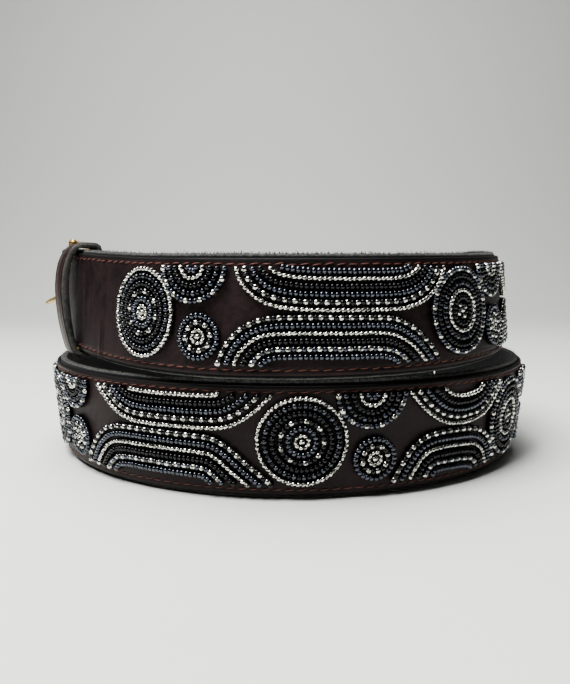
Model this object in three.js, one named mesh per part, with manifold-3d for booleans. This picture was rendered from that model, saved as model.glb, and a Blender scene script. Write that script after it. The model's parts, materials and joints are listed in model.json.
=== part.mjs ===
// Beaded leather belt standing on its edge, coiled in two turns, one above the other.
// Millimetres, +Z up, -Y towards the front of the coil.
import * as THREE from 'three';
import * as BufferGeometryUtils from 'three/addons/utils/BufferGeometryUtils.js';
import Module from 'manifold-3d';

const manifoldLibrary = await Module();
manifoldLibrary.setup();

// Belt strip
const beltWidth = 35;
const backingThickness = 2.2;
const facingThickness = 1.0;
const layerGap = 0.3;
const facingInset = 1.3;
const backingBevel = 1.05;
const edgeRounding = 0.35;
const tipLength = 22;
const tipEndShare = 0.3;
const tipSteps = 5;

// Coil
const coilReach = 88;
const stackClearance = 0.7;
const upperLift = beltWidth + stackClearance;
const stripStep = 7.6;
const coilStartTurn = 188.2;
const coilEndTurn = 857;

// Fold round the buckle bar
const barRadius = 1.7;
const barClearance = 0.3;
const foldBackLength = 45;
const foldMergeLength = 14;
const foldSteps = 7;
const slotHeight = 7;
const slotReach = 8;

// Keeper loop
const keeperWidth = 9;
const keeperThickness = 1.75;
const keeperAt = 30;
const keeperClearance = 0.4;
const keeperBulge = 4.3;

// Buckle
const frameWireRadius = 1.3;
const frameReach = 25;
const frameCorner = 8;
const frameClearance = 0.9;
const knobRadius = 1.75;
const frameHeading = 91.8;
const tongueHeading = 129.7;
const tongueLength = 30;
const tongueRadius = 1.25;
const tongueTipRadius = 0.8;
const tongueDrop = 3.2;
const tongueRingHeight = 3.6;
const tongueRingWall = 1.25;
const tongueRingDrop = 0.9;

// Adjusting holes in the tip
const holeRadius = 2;
const holePitch = 25;
const holeCount = 5;
const firstHoleFromTip = 60;

// Beadwork
const padGap = 0.4;
const padThickness = 1.2;
const beadRow = 2.14;
const firstMedallionAt = 77.3;
const longUnit = 103.6;
const shortUnit = 80.6;
const medallionRadius = 12.7;
const halfMedallionRadius = 9.9;
const smallMedallionRadius = 6.7;
const smallMedallionHeight = 11.5;
const halfMedallionFromMedallion = 19.8;
const smallMedallionFromMedallion = 21.2;
const beadMargin = 3.1;
const archMargin = 0.85;
const padCell = 7.8;
const archRows = 6;

// Coil table. turn: degrees counted round the coil, rising from the buckle to the tip.
// reach: outer face from the axis, share of coilReach. lift: share of upperLift.
// lean: how far the top edge stands outside the bottom edge, share of beltWidth.
const coilStations = [
  { turn: 165, reach: 1.3223, lift: 1.1200, lean: 0 },
  { turn: 180, reach: 1.0875, lift: 1.1130, lean: 0 },
  { turn: 195, reach: 0.9807, lift: 1.0950, lean: 0 },
  { turn: 210, reach: 0.9511, lift: 1.0720, lean: -0.030 },
  { turn: 225, reach: 0.9455, lift: 1.0380, lean: -0.077 },
  { turn: 240, reach: 0.9705, lift: 1.0123, lean: -0.077 },
  { turn: 255, reach: 1.0011, lift: 1.0031, lean: -0.077 },
  { turn: 270, reach: 1.0000, lift: 1.0000, lean: -0.077 },
  { turn: 285, reach: 0.9909, lift: 1.0031, lean: -0.077 },
  { turn: 300, reach: 0.9761, lift: 1.0123, lean: -0.077 },
  { turn: 315, reach: 0.9568, lift: 1.0272, lean: -0.077 },
  { turn: 330, reach: 0.9364, lift: 1.0462, lean: -0.077 },
  { turn: 345, reach: 0.9159, lift: 1.0686, lean: -0.077 },
  { turn: 360, reach: 0.8955, lift: 1.0924, lean: -0.077 },
  { turn: 375, reach: 0.8807, lift: 1.0793, lean: -0.070 },
  { turn: 390, reach: 0.8739, lift: 1.0162, lean: -0.057 },
  { turn: 405, reach: 0.8761, lift: 0.9118, lean: -0.039 },
  { turn: 420, reach: 0.8841, lift: 0.7773, lean: -0.018 },
  { turn: 435, reach: 0.8977, lift: 0.6252, lean: 0.005 },
  { turn: 450, reach: 0.9136, lift: 0.4672, lean: 0.028 },
  { turn: 465, reach: 0.9330, lift: 0.3151, lean: 0.050 },
  { turn: 480, reach: 0.9534, lift: 0.1807, lean: 0.069 },
  { turn: 495, reach: 0.9727, lift: 0.0762, lean: 0.084 },
  { turn: 510, reach: 0.9909, lift: 0.0132, lean: 0.093 },
  { turn: 525, reach: 1.0045, lift: 0, lean: 0.094 },
  { turn: 540, reach: 1.0091, lift: 0, lean: 0.094 },
  { turn: 555, reach: 1.0045, lift: 0, lean: 0.094 },
  { turn: 570, reach: 0.9920, lift: 0, lean: 0.094 },
  { turn: 585, reach: 0.9795, lift: 0, lean: 0.094 },
  { turn: 600, reach: 0.9693, lift: 0, lean: 0.094 },
  { turn: 615, reach: 0.9625, lift: 0, lean: 0.094 },
  { turn: 630, reach: 0.9602, lift: 0, lean: 0.094 },
  { turn: 645, reach: 0.9625, lift: 0, lean: 0.094 },
  { turn: 660, reach: 0.9693, lift: 0, lean: 0.094 },
  { turn: 675, reach: 0.9795, lift: 0, lean: 0.094 },
  { turn: 690, reach: 0.9898, lift: 0, lean: 0.094 },
  { turn: 705, reach: 0.9977, lift: 0, lean: 0.094 },
  { turn: 720, reach: 1.0000, lift: 0, lean: 0.094 },
  { turn: 735, reach: 1.0045, lift: 0, lean: 0.093 },
  { turn: 750, reach: 1.0045, lift: 0, lean: 0.089 },
  { turn: 765, reach: 1.0057, lift: 0, lean: 0.083 },
  { turn: 780, reach: 1.0080, lift: 0, lean: 0.076 },
  { turn: 795, reach: 1.0136, lift: 0, lean: 0.068 },
  { turn: 810, reach: 1.0239, lift: 0, lean: 0.061 },
  { turn: 825, reach: 1.0364, lift: 0, lean: 0.055 },
  { turn: 840, reach: 1.0511, lift: 0, lean: 0.050 },
  { turn: 855, reach: 1.0648, lift: 0, lean: 0.047 },
  { turn: 870, reach: 1.0750, lift: 0, lean: 0.047 },
];

// Keeper cavity, outward side. height: share of beltWidth. bulge: share of keeperBulge.
const keeperProfile = [
  { height: 0.03, bulge: 0.10 },
  { height: 0.12, bulge: 0.38 },
  { height: 0.27, bulge: 0.70 },
  { height: 0.46, bulge: 0.94 },
  { height: 0.66, bulge: 1.00 },
  { height: 0.84, bulge: 0.80 },
  { height: 0.96, bulge: 0.30 },
];

// Middle of each arch's outer row. along: share of the unit from its medallion.
// across: share of beltWidth from the lower edge.
const highBoat = [
  { along: 0.303, across: 0.9114 },
  { along: 0.312, across: 0.8057 },
  { along: 0.330, across: 0.7314 },
  { along: 0.358, across: 0.6543 },
  { along: 0.396, across: 0.6000 },
  { along: 0.448, across: 0.5714 },
  { along: 0.516, across: 0.5571 },
  { along: 0.709, across: 0.5514 },
  { along: 0.767, across: 0.5571 },
  { along: 0.811, across: 0.5829 },
  { along: 0.851, across: 0.6343 },
  { along: 0.884, across: 0.7086 },
  { along: 0.908, across: 0.8057 },
  { along: 0.927, across: 0.9114 },
];
const highBridge = [
  { along: 0.253, across: 0.0886 },
  { along: 0.262, across: 0.1771 },
  { along: 0.280, across: 0.2857 },
  { along: 0.307, across: 0.3771 },
  { along: 0.341, across: 0.4457 },
  { along: 0.380, across: 0.4829 },
  { along: 0.428, across: 0.4971 },
  { along: 0.516, across: 0.4971 },
  { along: 0.709, across: 0.4857 },
  { along: 0.763, across: 0.4514 },
  { along: 0.814, across: 0.3686 },
  { along: 0.850, across: 0.2714 },
  { along: 0.877, across: 0.1771 },
  { along: 0.893, across: 0.0886 },
];
const lowBoat = [
  { along: 0.350, across: 0.9114 },
  { along: 0.388, across: 0.7943 },
  { along: 0.421, across: 0.7114 },
  { along: 0.460, across: 0.6486 },
  { along: 0.500, across: 0.6200 },
  { along: 0.561, across: 0.6114 },
  { along: 0.700, across: 0.6114 },
  { along: 0.768, across: 0.6171 },
  { along: 0.808, across: 0.6457 },
  { along: 0.845, across: 0.7029 },
  { along: 0.880, across: 0.7886 },
  { along: 0.925, across: 0.9114 },
];
const lowBridge = [
  { along: 0.262, across: 0.0886 },
  { along: 0.275, across: 0.2000 },
  { along: 0.297, across: 0.3057 },
  { along: 0.326, across: 0.3971 },
  { along: 0.362, across: 0.4800 },
  { along: 0.400, across: 0.5257 },
  { along: 0.450, across: 0.5486 },
  { along: 0.530, across: 0.5514 },
  { along: 0.700, across: 0.5429 },
  { along: 0.755, across: 0.5229 },
  { along: 0.800, across: 0.4486 },
  { along: 0.844, across: 0.3286 },
  { along: 0.894, across: 0.1943 },
  { along: 0.930, across: 0.0886 },
];
const shortBoat = [
  { along: 0.385, across: 0.9114 },
  { along: 0.420, across: 0.8143 },
  { along: 0.450, across: 0.7429 },
  { along: 0.491, across: 0.6743 },
  { along: 0.533, across: 0.6143 },
  { along: 0.579, across: 0.5800 },
  { along: 0.635, across: 0.5657 },
  { along: 0.691, across: 0.5714 },
  { along: 0.751, across: 0.6000 },
  { along: 0.798, across: 0.6543 },
  { along: 0.835, across: 0.7371 },
  { along: 0.864, across: 0.8229 },
  { along: 0.885, across: 0.9114 },
];
const shortBridge = [
  { along: 0.335, across: 0.0886 },
  { along: 0.355, across: 0.1829 },
  { along: 0.380, across: 0.2800 },
  { along: 0.407, across: 0.3686 },
  { along: 0.438, across: 0.4371 },
  { along: 0.477, across: 0.4829 },
  { along: 0.524, across: 0.5029 },
  { along: 0.600, across: 0.5057 },
  { along: 0.700, across: 0.4914 },
  { along: 0.765, across: 0.4543 },
  { along: 0.820, across: 0.3771 },
  { along: 0.850, across: 0.2914 },
  { along: 0.875, across: 0.1857 },
  { along: 0.890, across: 0.0886 },
];

// Order of the motifs along the belt. arches: which pair follows, none after the last medallion.
// spread: share of the pair's unit length. squeeze: how narrow the round motifs are along the belt.
const motifUnits = [
  { arches: 'high', spread: 0.987, squeeze: 0.9 },
  { arches: 'short', spread: 1, squeeze: 1 },
  { arches: 'low', spread: 1, squeeze: 1 },
  { arches: 'short', spread: 1, squeeze: 1 },
  { arches: 'low', spread: 1, squeeze: 1 },
  { arches: 'low', spread: 1, squeeze: 1 },
  { arches: 'short', spread: 1, squeeze: 1 },
  { arches: 'none', spread: 1, squeeze: 1 },
];

const archShapes = {
  high: { unit: longUnit, boat: highBoat, bridge: highBridge },
  low: { unit: longUnit, boat: lowBoat, bridge: lowBridge },
  short: { unit: shortUnit, boat: shortBoat, bridge: shortBridge },
};

const beltLeather = new THREE.MeshStandardMaterial({ color: 0x3c3234, roughness: 0.55, metalness: 0 });
const suedeLeather = new THREE.MeshStandardMaterial({ color: 0x2f2728, roughness: 0.9, metalness: 0 });
const brass = new THREE.MeshStandardMaterial({ color: 0xb08d45, roughness: 0.35, metalness: 1 });
const blackBeads = new THREE.MeshStandardMaterial({ color: 0x2a2c33, roughness: 0.25, metalness: 0.3 });
const greyBeads = new THREE.MeshStandardMaterial({ color: 0x7d828c, roughness: 0.25, metalness: 0.5 });

const quarterTurn = Math.PI / 2;
const samplesPerDegree = 2;

// Value of one column of the coil table at a turn, by a smooth curve through the rows
function coilValue(column, turn) {
  const step = coilStations[1].turn - coilStations[0].turn;
  const place = (turn - coilStations[0].turn) / step;
  const row = Math.min(Math.max(Math.floor(place), 1), coilStations.length - 3);
  const t = place - row;
  const before = coilStations[row - 1][column];
  const from = coilStations[row][column];
  const to = coilStations[row + 1][column];
  const after = coilStations[row + 2][column];
  const linear = (to - before) * t;
  const square = (2 * before - 5 * from + 4 * to - after) * t * t;
  const cube = (3 * from - before - 3 * to + after) * t * t * t;
  return (2 * from + linear + square + cube) / 2;
}

function coilPlanPoint(turn) {
  const angle = THREE.MathUtils.degToRad(turn);
  const reach = coilReach * coilValue('reach', turn);
  return new THREE.Vector2(reach * Math.cos(angle), reach * Math.sin(angle));
}

// Plan length along the outer face, sampled once from the bar to the tip
const routeTurns = [];
const routeLengths = [];
for (let sample = 0; sample <= (coilEndTurn - coilStartTurn) * samplesPerDegree; sample += 1) {
  const turn = coilStartTurn + sample / samplesPerDegree;
  const last = routeTurns.length - 1;
  const run = last < 0 ? 0 : coilPlanPoint(turn).distanceTo(coilPlanPoint(routeTurns[last]));
  routeLengths.push(last < 0 ? 0 : routeLengths[last] + run);
  routeTurns.push(turn);
}
const beltLength = routeLengths[routeLengths.length - 1];

function turnAt(along) {
  let low = 0;
  let high = routeLengths.length - 1;
  while (high - low > 1) {
    const middle = Math.floor((low + high) / 2);
    if (routeLengths[middle] > along) {
      high = middle;
    } else {
      low = middle;
    }
  }
  const share = (along - routeLengths[low]) / (routeLengths[high] - routeLengths[low]);
  return routeTurns[low] + share * (routeTurns[high] - routeTurns[low]);
}

// Frame of the belt's outer face at a length along it
function beltFrame(along) {
  const held = Math.min(Math.max(along, 0), beltLength);
  const turn = turnAt(held);
  const halfStep = 1 / samplesPerDegree;
  const tangent = coilPlanPoint(turn + halfStep).sub(coilPlanPoint(turn - halfStep)).normalize();
  const plan = coilPlanPoint(turn).addScaledVector(tangent, along - held);
  const lift = Math.max(0, upperLift * coilValue('lift', turn));
  const lean = coilValue('lean', turn);
  return {
    origin: new THREE.Vector3(plan.x, plan.y, lift),
    tangent: new THREE.Vector3(tangent.x, tangent.y, 0),
    outward: new THREE.Vector3(tangent.y, -tangent.x, 0),
    lean,
  };
}

// Point at a length along the belt, a depth out from its face and a height above its lower edge
function beltPlace(along, out, height) {
  const frame = beltFrame(along);
  const leaned = out + frame.lean * (height - beltWidth / 2);
  const point = frame.origin.clone().addScaledVector(frame.outward, leaned);
  point.z += height;
  return point;
}

// Closed body from shared points and triangles, turned so that its faces point out
function closedBody(points, triangles) {
  let volume = 0;
  for (const [a, b, c] of triangles) {
    volume += points[a].dot(points[b].clone().cross(points[c]));
  }
  const indices = triangles.flatMap(([a, b, c]) => (volume < 0 ? [a, c, b] : [a, b, c]));
  const geometry = new THREE.BufferGeometry();
  geometry.setAttribute('position', new THREE.Float32BufferAttribute(points.flatMap((p) => p.toArray()), 3));
  geometry.setIndex(indices);
  geometry.computeVertexNormals();
  return geometry;
}

// Loft through rings of equal point counts, closed at both ends
function loftRings(rings) {
  const count = rings[0].length;
  const points = rings.flat();
  const triangles = [];
  for (let ring = 0; ring < rings.length - 1; ring += 1) {
    for (let side = 0; side < count; side += 1) {
      const a = ring * count + side;
      const b = ring * count + (side + 1) % count;
      triangles.push([a, b, b + count]);
      triangles.push([a, b + count, a + count]);
    }
  }
  const lastRing = (rings.length - 1) * count;
  for (let side = 1; side < count - 1; side += 1) {
    triangles.push([0, side + 1, side]);
    triangles.push([lastRing, lastRing + side, lastRing + side + 1]);
  }
  return closedBody(points, triangles);
}

function toSolid(geometry) {
  const bare = geometry.clone();
  bare.deleteAttribute('normal');
  bare.deleteAttribute('uv');
  const merged = BufferGeometryUtils.mergeVertices(bare);
  return new manifoldLibrary.Manifold(new manifoldLibrary.Mesh({
    numProp: 3,
    vertProperties: new Float32Array(merged.attributes.position.array),
    triVerts: new Uint32Array(merged.index.array),
  }));
}

function toGeometry(solid) {
  const mesh = solid.getMesh();
  const geometry = new THREE.BufferGeometry();
  geometry.setAttribute('position', new THREE.BufferAttribute(new Float32Array(mesh.vertProperties), 3));
  geometry.setIndex(new THREE.BufferAttribute(new Uint32Array(mesh.triVerts), 1));
  geometry.computeVertexNormals();
  return geometry;
}

function subtractAll(geometry, cutters) {
  let solid = toSolid(geometry);
  for (const cutter of cutters) {
    solid = solid.subtract(toSolid(cutter));
  }
  return toGeometry(solid);
}

function joinAll(geometries) {
  let solid = toSolid(geometries[0]);
  for (const geometry of geometries.slice(1)) {
    solid = solid.add(toSolid(geometry));
  }
  return toGeometry(solid);
}

// Share of the belt's width that is left at a length along it: full, then rounded off at the tip
function tipShare(along) {
  const into = Math.max(0, along - (beltLength - tipLength)) / tipLength;
  return tipEndShare + (1 - tipEndShare) * Math.sqrt(Math.max(0, 1 - into * into));
}

function stripAlongs(from) {
  const straightEnd = beltLength - tipLength;
  const steps = Math.round((straightEnd - from) / stripStep);
  const alongs = [];
  for (let step = 0; step <= steps; step += 1) {
    alongs.push(from + (straightEnd - from) * step / steps);
  }
  for (let step = 1; step <= tipSteps; step += 1) {
    alongs.push(straightEnd + tipLength * Math.sin(quarterTurn * step / tipSteps));
  }
  return alongs;
}

// Adjusting holes, bored square to the face
function holeCutters() {
  const cutters = [];
  const boreLength = 8 * (backingThickness + facingThickness);
  for (let hole = 0; hole < holeCount; hole += 1) {
    const along = beltLength - firstHoleFromTip - hole * holePitch;
    const frame = beltFrame(along);
    const cutter = new THREE.CylinderGeometry(holeRadius, holeRadius, boreLength, 12);
    cutter.applyQuaternion(new THREE.Quaternion().setFromUnitVectors(new THREE.Vector3(0, 1, 0), frame.outward));
    const middle = beltPlace(along, 0, beltWidth / 2);
    cutter.translate(middle.x, middle.y, middle.z);
    cutters.push(cutter);
  }
  return cutters;
}

const backingFace = -facingThickness - layerGap;
const backingMiddle = backingFace - backingThickness / 2;
const barOut = backingFace - backingThickness - barClearance - barRadius;
const foldRadius = barRadius + barClearance + backingThickness / 2;
const foldBackMiddle = backingMiddle - backingThickness - layerGap;
const facingStart = slotReach + layerGap;

// Backing: thick leather from the tip to the bar, round it, and back behind itself
function makeBacking() {
  const half = backingThickness / 2;
  const stops = [];
  for (const along of stripAlongs(0).reverse()) {
    stops.push({ along, out: backingMiddle, normalAlong: 0, normalOut: 1 });
  }
  for (let step = 1; step <= foldSteps; step += 1) {
    const angle = Math.PI * step / foldSteps;
    stops.push({
      along: -foldRadius * Math.sin(angle),
      out: barOut + foldRadius * Math.cos(angle),
      normalAlong: -Math.sin(angle),
      normalOut: Math.cos(angle),
    });
  }
  const foldSpan = foldBackMiddle - (barOut - foldRadius);
  for (const share of [0.25, 0.5, 0.75, 1]) {
    const eased = share * share * (3 - 2 * share);
    stops.push({
      along: foldMergeLength * share,
      out: barOut - foldRadius + foldSpan * eased,
      normalAlong: 0,
      normalOut: -1,
    });
  }
  const tailSteps = Math.ceil((foldBackLength - foldMergeLength) / stripStep);
  for (let step = 1; step <= tailSteps; step += 1) {
    stops.push({
      along: foldMergeLength + (foldBackLength - foldMergeLength) * step / tailSteps,
      out: foldBackMiddle,
      normalAlong: 0,
      normalOut: -1,
    });
  }
  const section = [
    [-half, edgeRounding],
    [-half + edgeRounding, 0],
    [half - backingBevel, 0],
    [half, backingBevel],
    [half, beltWidth - backingBevel],
    [half - backingBevel, beltWidth],
    [-half + edgeRounding, beltWidth],
    [-half, beltWidth - edgeRounding],
  ];
  const rings = stops.map((stop) => section.map(([off, height]) => {
    const share = tipShare(stop.along);
    const kept = beltWidth / 2 + (height - beltWidth / 2) * share;
    return beltPlace(stop.along + off * stop.normalAlong, stop.out + off * stop.normalOut, kept);
  }));
  const frame = beltFrame(0);
  const slot = new THREE.BoxGeometry(2 * slotReach, 6 * foldRadius, slotHeight);
  slot.applyMatrix4(new THREE.Matrix4().makeBasis(frame.tangent, frame.outward.clone().negate(),
    new THREE.Vector3(0, 0, 1)));
  const slotMiddle = beltPlace(0, barOut, beltWidth / 2);
  slot.translate(slotMiddle.x, slotMiddle.y, slotMiddle.z);
  return subtractAll(loftRings(rings), [slot, ...holeCutters()]);
}

// Facing: smooth leather laid on the backing, inside its bevelled edges
function makeFacing() {
  const low = facingInset;
  const high = beltWidth - facingInset;
  const section = [
    [-facingThickness, low],
    [-edgeRounding, low],
    [0, low + edgeRounding],
    [0, high - edgeRounding],
    [-edgeRounding, high],
    [-facingThickness, high],
  ];
  const rings = stripAlongs(facingStart).map((along) => section.map(([out, height]) => {
    const share = tipShare(along);
    return beltPlace(along, out, beltWidth / 2 + (height - beltWidth / 2) * share);
  }));
  return subtractAll(loftRings(rings), holeCutters());
}

// Keeper: a leather band closed round the strip and its folded end, bulging outward
function makeKeeper() {
  const frame = beltFrame(keeperAt);
  const leaned = (out, height) => [out + frame.lean * (height - beltWidth / 2), height];
  const back = foldBackMiddle - backingThickness / 2 - keeperClearance;
  const low = -keeperClearance;
  const high = beltWidth + keeperClearance;
  const inner = [leaned(back, low), leaned(keeperClearance, low)];
  const outer = [
    leaned(back - keeperThickness, low - keeperThickness),
    leaned(keeperClearance + keeperThickness / 2, low - keeperThickness),
  ];
  for (const row of keeperProfile) {
    const height = beltWidth * row.height;
    const out = keeperClearance + keeperBulge * row.bulge;
    const spread = (row.height - 0.5) * keeperThickness;
    inner.push(leaned(out, height));
    outer.push(leaned(out + keeperThickness, height + spread));
  }
  inner.push(leaned(0, high), leaned(back, high));
  outer.push(leaned(keeperThickness / 2, high + keeperThickness));
  outer.push(leaned(back - keeperThickness, high + keeperThickness));
  const shape = new THREE.Shape(outer.map(([x, y]) => new THREE.Vector2(x, y)));
  shape.holes.push(new THREE.Path(inner.map(([x, y]) => new THREE.Vector2(x, y))));
  const geometry = new THREE.ExtrudeGeometry(shape, { depth: keeperWidth, bevelEnabled: false });
  geometry.translate(0, 0, -keeperWidth / 2);
  const up = new THREE.Vector3(0, 0, 1);
  const across = frame.outward.clone().cross(up);
  geometry.applyMatrix4(new THREE.Matrix4().makeBasis(frame.outward, up, across));
  geometry.translate(frame.origin.x, frame.origin.y, frame.origin.z);
  return toGeometry(toSolid(geometry));
}

const barMiddle = beltPlace(0, barOut, beltWidth / 2);
const barHalf = beltWidth / 2 + frameClearance + frameWireRadius;

function heading(degrees) {
  const angle = THREE.MathUtils.degToRad(degrees);
  return new THREE.Vector3(Math.cos(angle), Math.sin(angle), 0);
}

function wireSection(radius, sides) {
  const points = [];
  for (let side = 0; side < sides; side += 1) {
    const angle = 2 * Math.PI * side / sides;
    points.push(new THREE.Vector2(radius * Math.cos(angle), radius * Math.sin(angle)));
  }
  return new THREE.Shape(points);
}

// Buckle frame: bar with a knob at each end, and a rounded bow of round wire
function makeBuckleFrame() {
  const forward = heading(frameHeading);
  const at = (reach, height) => barMiddle.clone().addScaledVector(forward, reach)
    .add(new THREE.Vector3(0, 0, height));
  const bowPoints = [at(0, barHalf), at(frameReach - frameCorner, barHalf)];
  const cornerSteps = 4;
  for (let step = 1; step <= cornerSteps; step += 1) {
    const angle = quarterTurn * step / cornerSteps;
    bowPoints.push(at(frameReach - frameCorner + frameCorner * Math.sin(angle),
      barHalf - frameCorner + frameCorner * Math.cos(angle)));
  }
  const lowerHalf = bowPoints.slice(0, bowPoints.length).reverse()
    .map((point) => new THREE.Vector3(point.x, point.y, 2 * barMiddle.z - point.z));
  const bow = new THREE.CurvePath();
  const all = [...bowPoints, ...lowerHalf];
  for (let index = 0; index < all.length - 1; index += 1) {
    bow.add(new THREE.LineCurve3(all[index], all[index + 1]));
  }
  const sides = 10;
  const across = forward.clone().cross(new THREE.Vector3(0, 0, 1));
  const rings = all.map((point, index) => {
    const from = all[Math.max(0, index - 1)];
    const to = all[Math.min(all.length - 1, index + 1)];
    const along = to.clone().sub(from).normalize();
    const other = along.clone().cross(across);
    const ring = [];
    for (let side = 0; side < sides; side += 1) {
      const angle = 2 * Math.PI * side / sides;
      ring.push(point.clone().addScaledVector(across, frameWireRadius * Math.cos(angle))
        .addScaledVector(other, frameWireRadius * Math.sin(angle)));
    }
    return ring;
  });
  const bowBody = loftRings(rings);
  const bar = new THREE.CylinderGeometry(barRadius, barRadius, 2 * barHalf, 12);
  bar.rotateX(quarterTurn);
  bar.translate(barMiddle.x, barMiddle.y, barMiddle.z);
  const pieces = [bar, bowBody];
  for (const end of [-1, 1]) {
    const knob = new THREE.SphereGeometry(knobRadius, 12, 8);
    knob.rotateX(quarterTurn);
    knob.translate(barMiddle.x, barMiddle.y, barMiddle.z + end * barHalf);
    pieces.push(knob);
  }
  return joinAll(pieces);
}

// Tongue: a ring round the bar and a tapering prong that drops a little towards its tip
function makeTongue() {
  const forward = heading(tongueHeading);
  const inside = barRadius + barClearance + 0.05;
  const outside = inside + tongueRingWall;
  const half = tongueRingHeight / 2;
  const profile = [
    new THREE.Vector2(inside, -half),
    new THREE.Vector2(outside, -half),
    new THREE.Vector2(outside, half),
    new THREE.Vector2(inside, half),
    new THREE.Vector2(inside, -half),
  ];
  const ring = new THREE.LatheGeometry(profile, 16);
  ring.rotateX(quarterTurn);
  const sides = 8;
  const across = forward.clone().cross(new THREE.Vector3(0, 0, 1));
  const stations = [0, 0.2, 0.45, 0.7, 0.9, 1];
  const start = (inside + outside) / 2;
  const rings = stations.map((share) => {
    const reach = start + (tongueLength - start) * share;
    const radius = tongueRadius + (tongueTipRadius - tongueRadius) * share * share;
    const middle = forward.clone().multiplyScalar(reach);
    middle.z = -tongueDrop * share * share;
    const points = [];
    for (let side = 0; side < sides; side += 1) {
      const angle = 2 * Math.PI * (side + 0.5) / sides;
      points.push(middle.clone().addScaledVector(across, radius * Math.cos(angle))
        .add(new THREE.Vector3(0, 0, radius * Math.sin(angle))));
    }
    return points;
  });
  const body = joinAll([ring, loftRings(rings)]);
  body.translate(barMiddle.x, barMiddle.y, barMiddle.z - tongueRingDrop);
  return body;
}

// Low pad on the facing from a grid of (along, height) points; outline lists the rim's indices
function makePad(flat, faces, rim) {
  const low = flat.map(([along, height]) => beltPlace(along, padGap, height));
  const high = flat.map(([along, height]) => beltPlace(along, padGap + padThickness, height));
  const count = flat.length;
  const triangles = [];
  for (const [a, b, c] of faces) {
    triangles.push([a, b, c]);
    triangles.push([count + a, count + c, count + b]);
  }
  for (let index = 0; index < rim.length; index += 1) {
    const a = rim[index];
    const b = rim[(index + 1) % rim.length];
    triangles.push([b, a, a + count]);
    triangles.push([b, a + count, b + count]);
  }
  return closedBody([...low, ...high], triangles);
}

function makeDiscPad(along, height, radius, squeeze, segments, ringCount) {
  const flat = [[along, height]];
  const faces = [];
  for (let ring = 1; ring <= ringCount; ring += 1) {
    for (let segment = 0; segment < segments; segment += 1) {
      const angle = 2 * Math.PI * segment / segments;
      const reach = radius * ring / ringCount;
      flat.push([along + squeeze * reach * Math.cos(angle), height + reach * Math.sin(angle)]);
    }
  }
  const rim = [];
  for (let segment = 0; segment < segments; segment += 1) {
    const next = (segment + 1) % segments;
    faces.push([0, 1 + segment, 1 + next]);
    for (let ring = 1; ring < ringCount; ring += 1) {
      const a = 1 + (ring - 1) * segments;
      const b = 1 + ring * segments;
      faces.push([a + segment, b + segment, b + next]);
      faces.push([a + segment, b + next, a + next]);
    }
    rim.push(1 + (ringCount - 1) * segments + segment);
  }
  return makePad(flat, faces, rim);
}

function makeHalfPad(along, height, radius, squeeze) {
  const segments = 10;
  const ringCount = 2;
  const flat = [[along, height]];
  const faces = [];
  for (let ring = 1; ring <= ringCount; ring += 1) {
    for (let segment = 0; segment <= segments; segment += 1) {
      const angle = Math.PI + Math.PI * segment / segments;
      const reach = radius * ring / ringCount;
      flat.push([along + squeeze * reach * Math.cos(angle), height + reach * Math.sin(angle)]);
    }
  }
  const row = segments + 1;
  for (let segment = 0; segment < segments; segment += 1) {
    faces.push([0, 1 + segment, 2 + segment]);
    faces.push([1 + segment, 1 + row + segment, 2 + row + segment]);
    faces.push([1 + segment, 2 + row + segment, 2 + segment]);
  }
  const rim = [0, 1];
  for (let segment = 0; segment <= segments; segment += 1) {
    rim.push(1 + row + segment);
  }
  rim.push(row);
  return makePad(flat, faces, rim);
}

// Arch pad: from its outer row inwards to the line where the rows end, side 1 up and -1 down
function makeArchPad(start, unit, table, side) {
  const edge = side > 0 ? beltWidth - beadMargin : beadMargin;
  const depth = archRows * beadRow;
  const outline = table.map((row) => [start + unit * row.along, beltWidth * row.across - side * archMargin]);
  const columns = [];
  for (let index = 0; index < outline.length - 1; index += 1) {
    const [ax, ay] = outline[index];
    const [bx, by] = outline[index + 1];
    const cells = Math.max(1, Math.ceil((bx - ax) / padCell));
    for (let cell = 0; cell < cells; cell += 1) {
      columns.push([ax + (bx - ax) * cell / cells, ay + (by - ay) * cell / cells]);
    }
  }
  columns.push(outline[outline.length - 1]);
  const count = columns.length;
  const deep = columns.map(([, height]) => side * Math.min(depth, side * (edge - height)));
  const flat = [0, 0.5, 1].flatMap((share) => columns.map(([x, y], index) => [x, y + deep[index] * share]));
  const faces = [];
  for (let lane = 0; lane < 2; lane += 1) {
    for (let index = 0; index < count - 1; index += 1) {
      const a = lane * count + index;
      const b = a + count;
      faces.push([a, a + 1, b + 1]);
      faces.push([a, b + 1, b]);
    }
  }
  const rim = [];
  for (let index = 0; index < count; index += 1) {
    rim.push(index);
  }
  rim.push(2 * count - 1);
  for (let index = count - 1; index >= 0; index -= 1) {
    rim.push(2 * count + index);
  }
  rim.push(count);
  return makePad(flat, faces, rim);
}

const belt = new THREE.Group();
function addMesh(name, geometry, material) {
  const mesh = new THREE.Mesh(geometry, material.clone());
  mesh.name = name;
  belt.add(mesh);
}

addMesh('strap_backing', makeBacking(), suedeLeather);
addMesh('strap_facing', makeFacing(), beltLeather);
addMesh('keeper_loop', makeKeeper(), beltLeather);
addMesh('buckle_frame', makeBuckleFrame(), brass);
addMesh('buckle_tongue', makeTongue(), brass);

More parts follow.
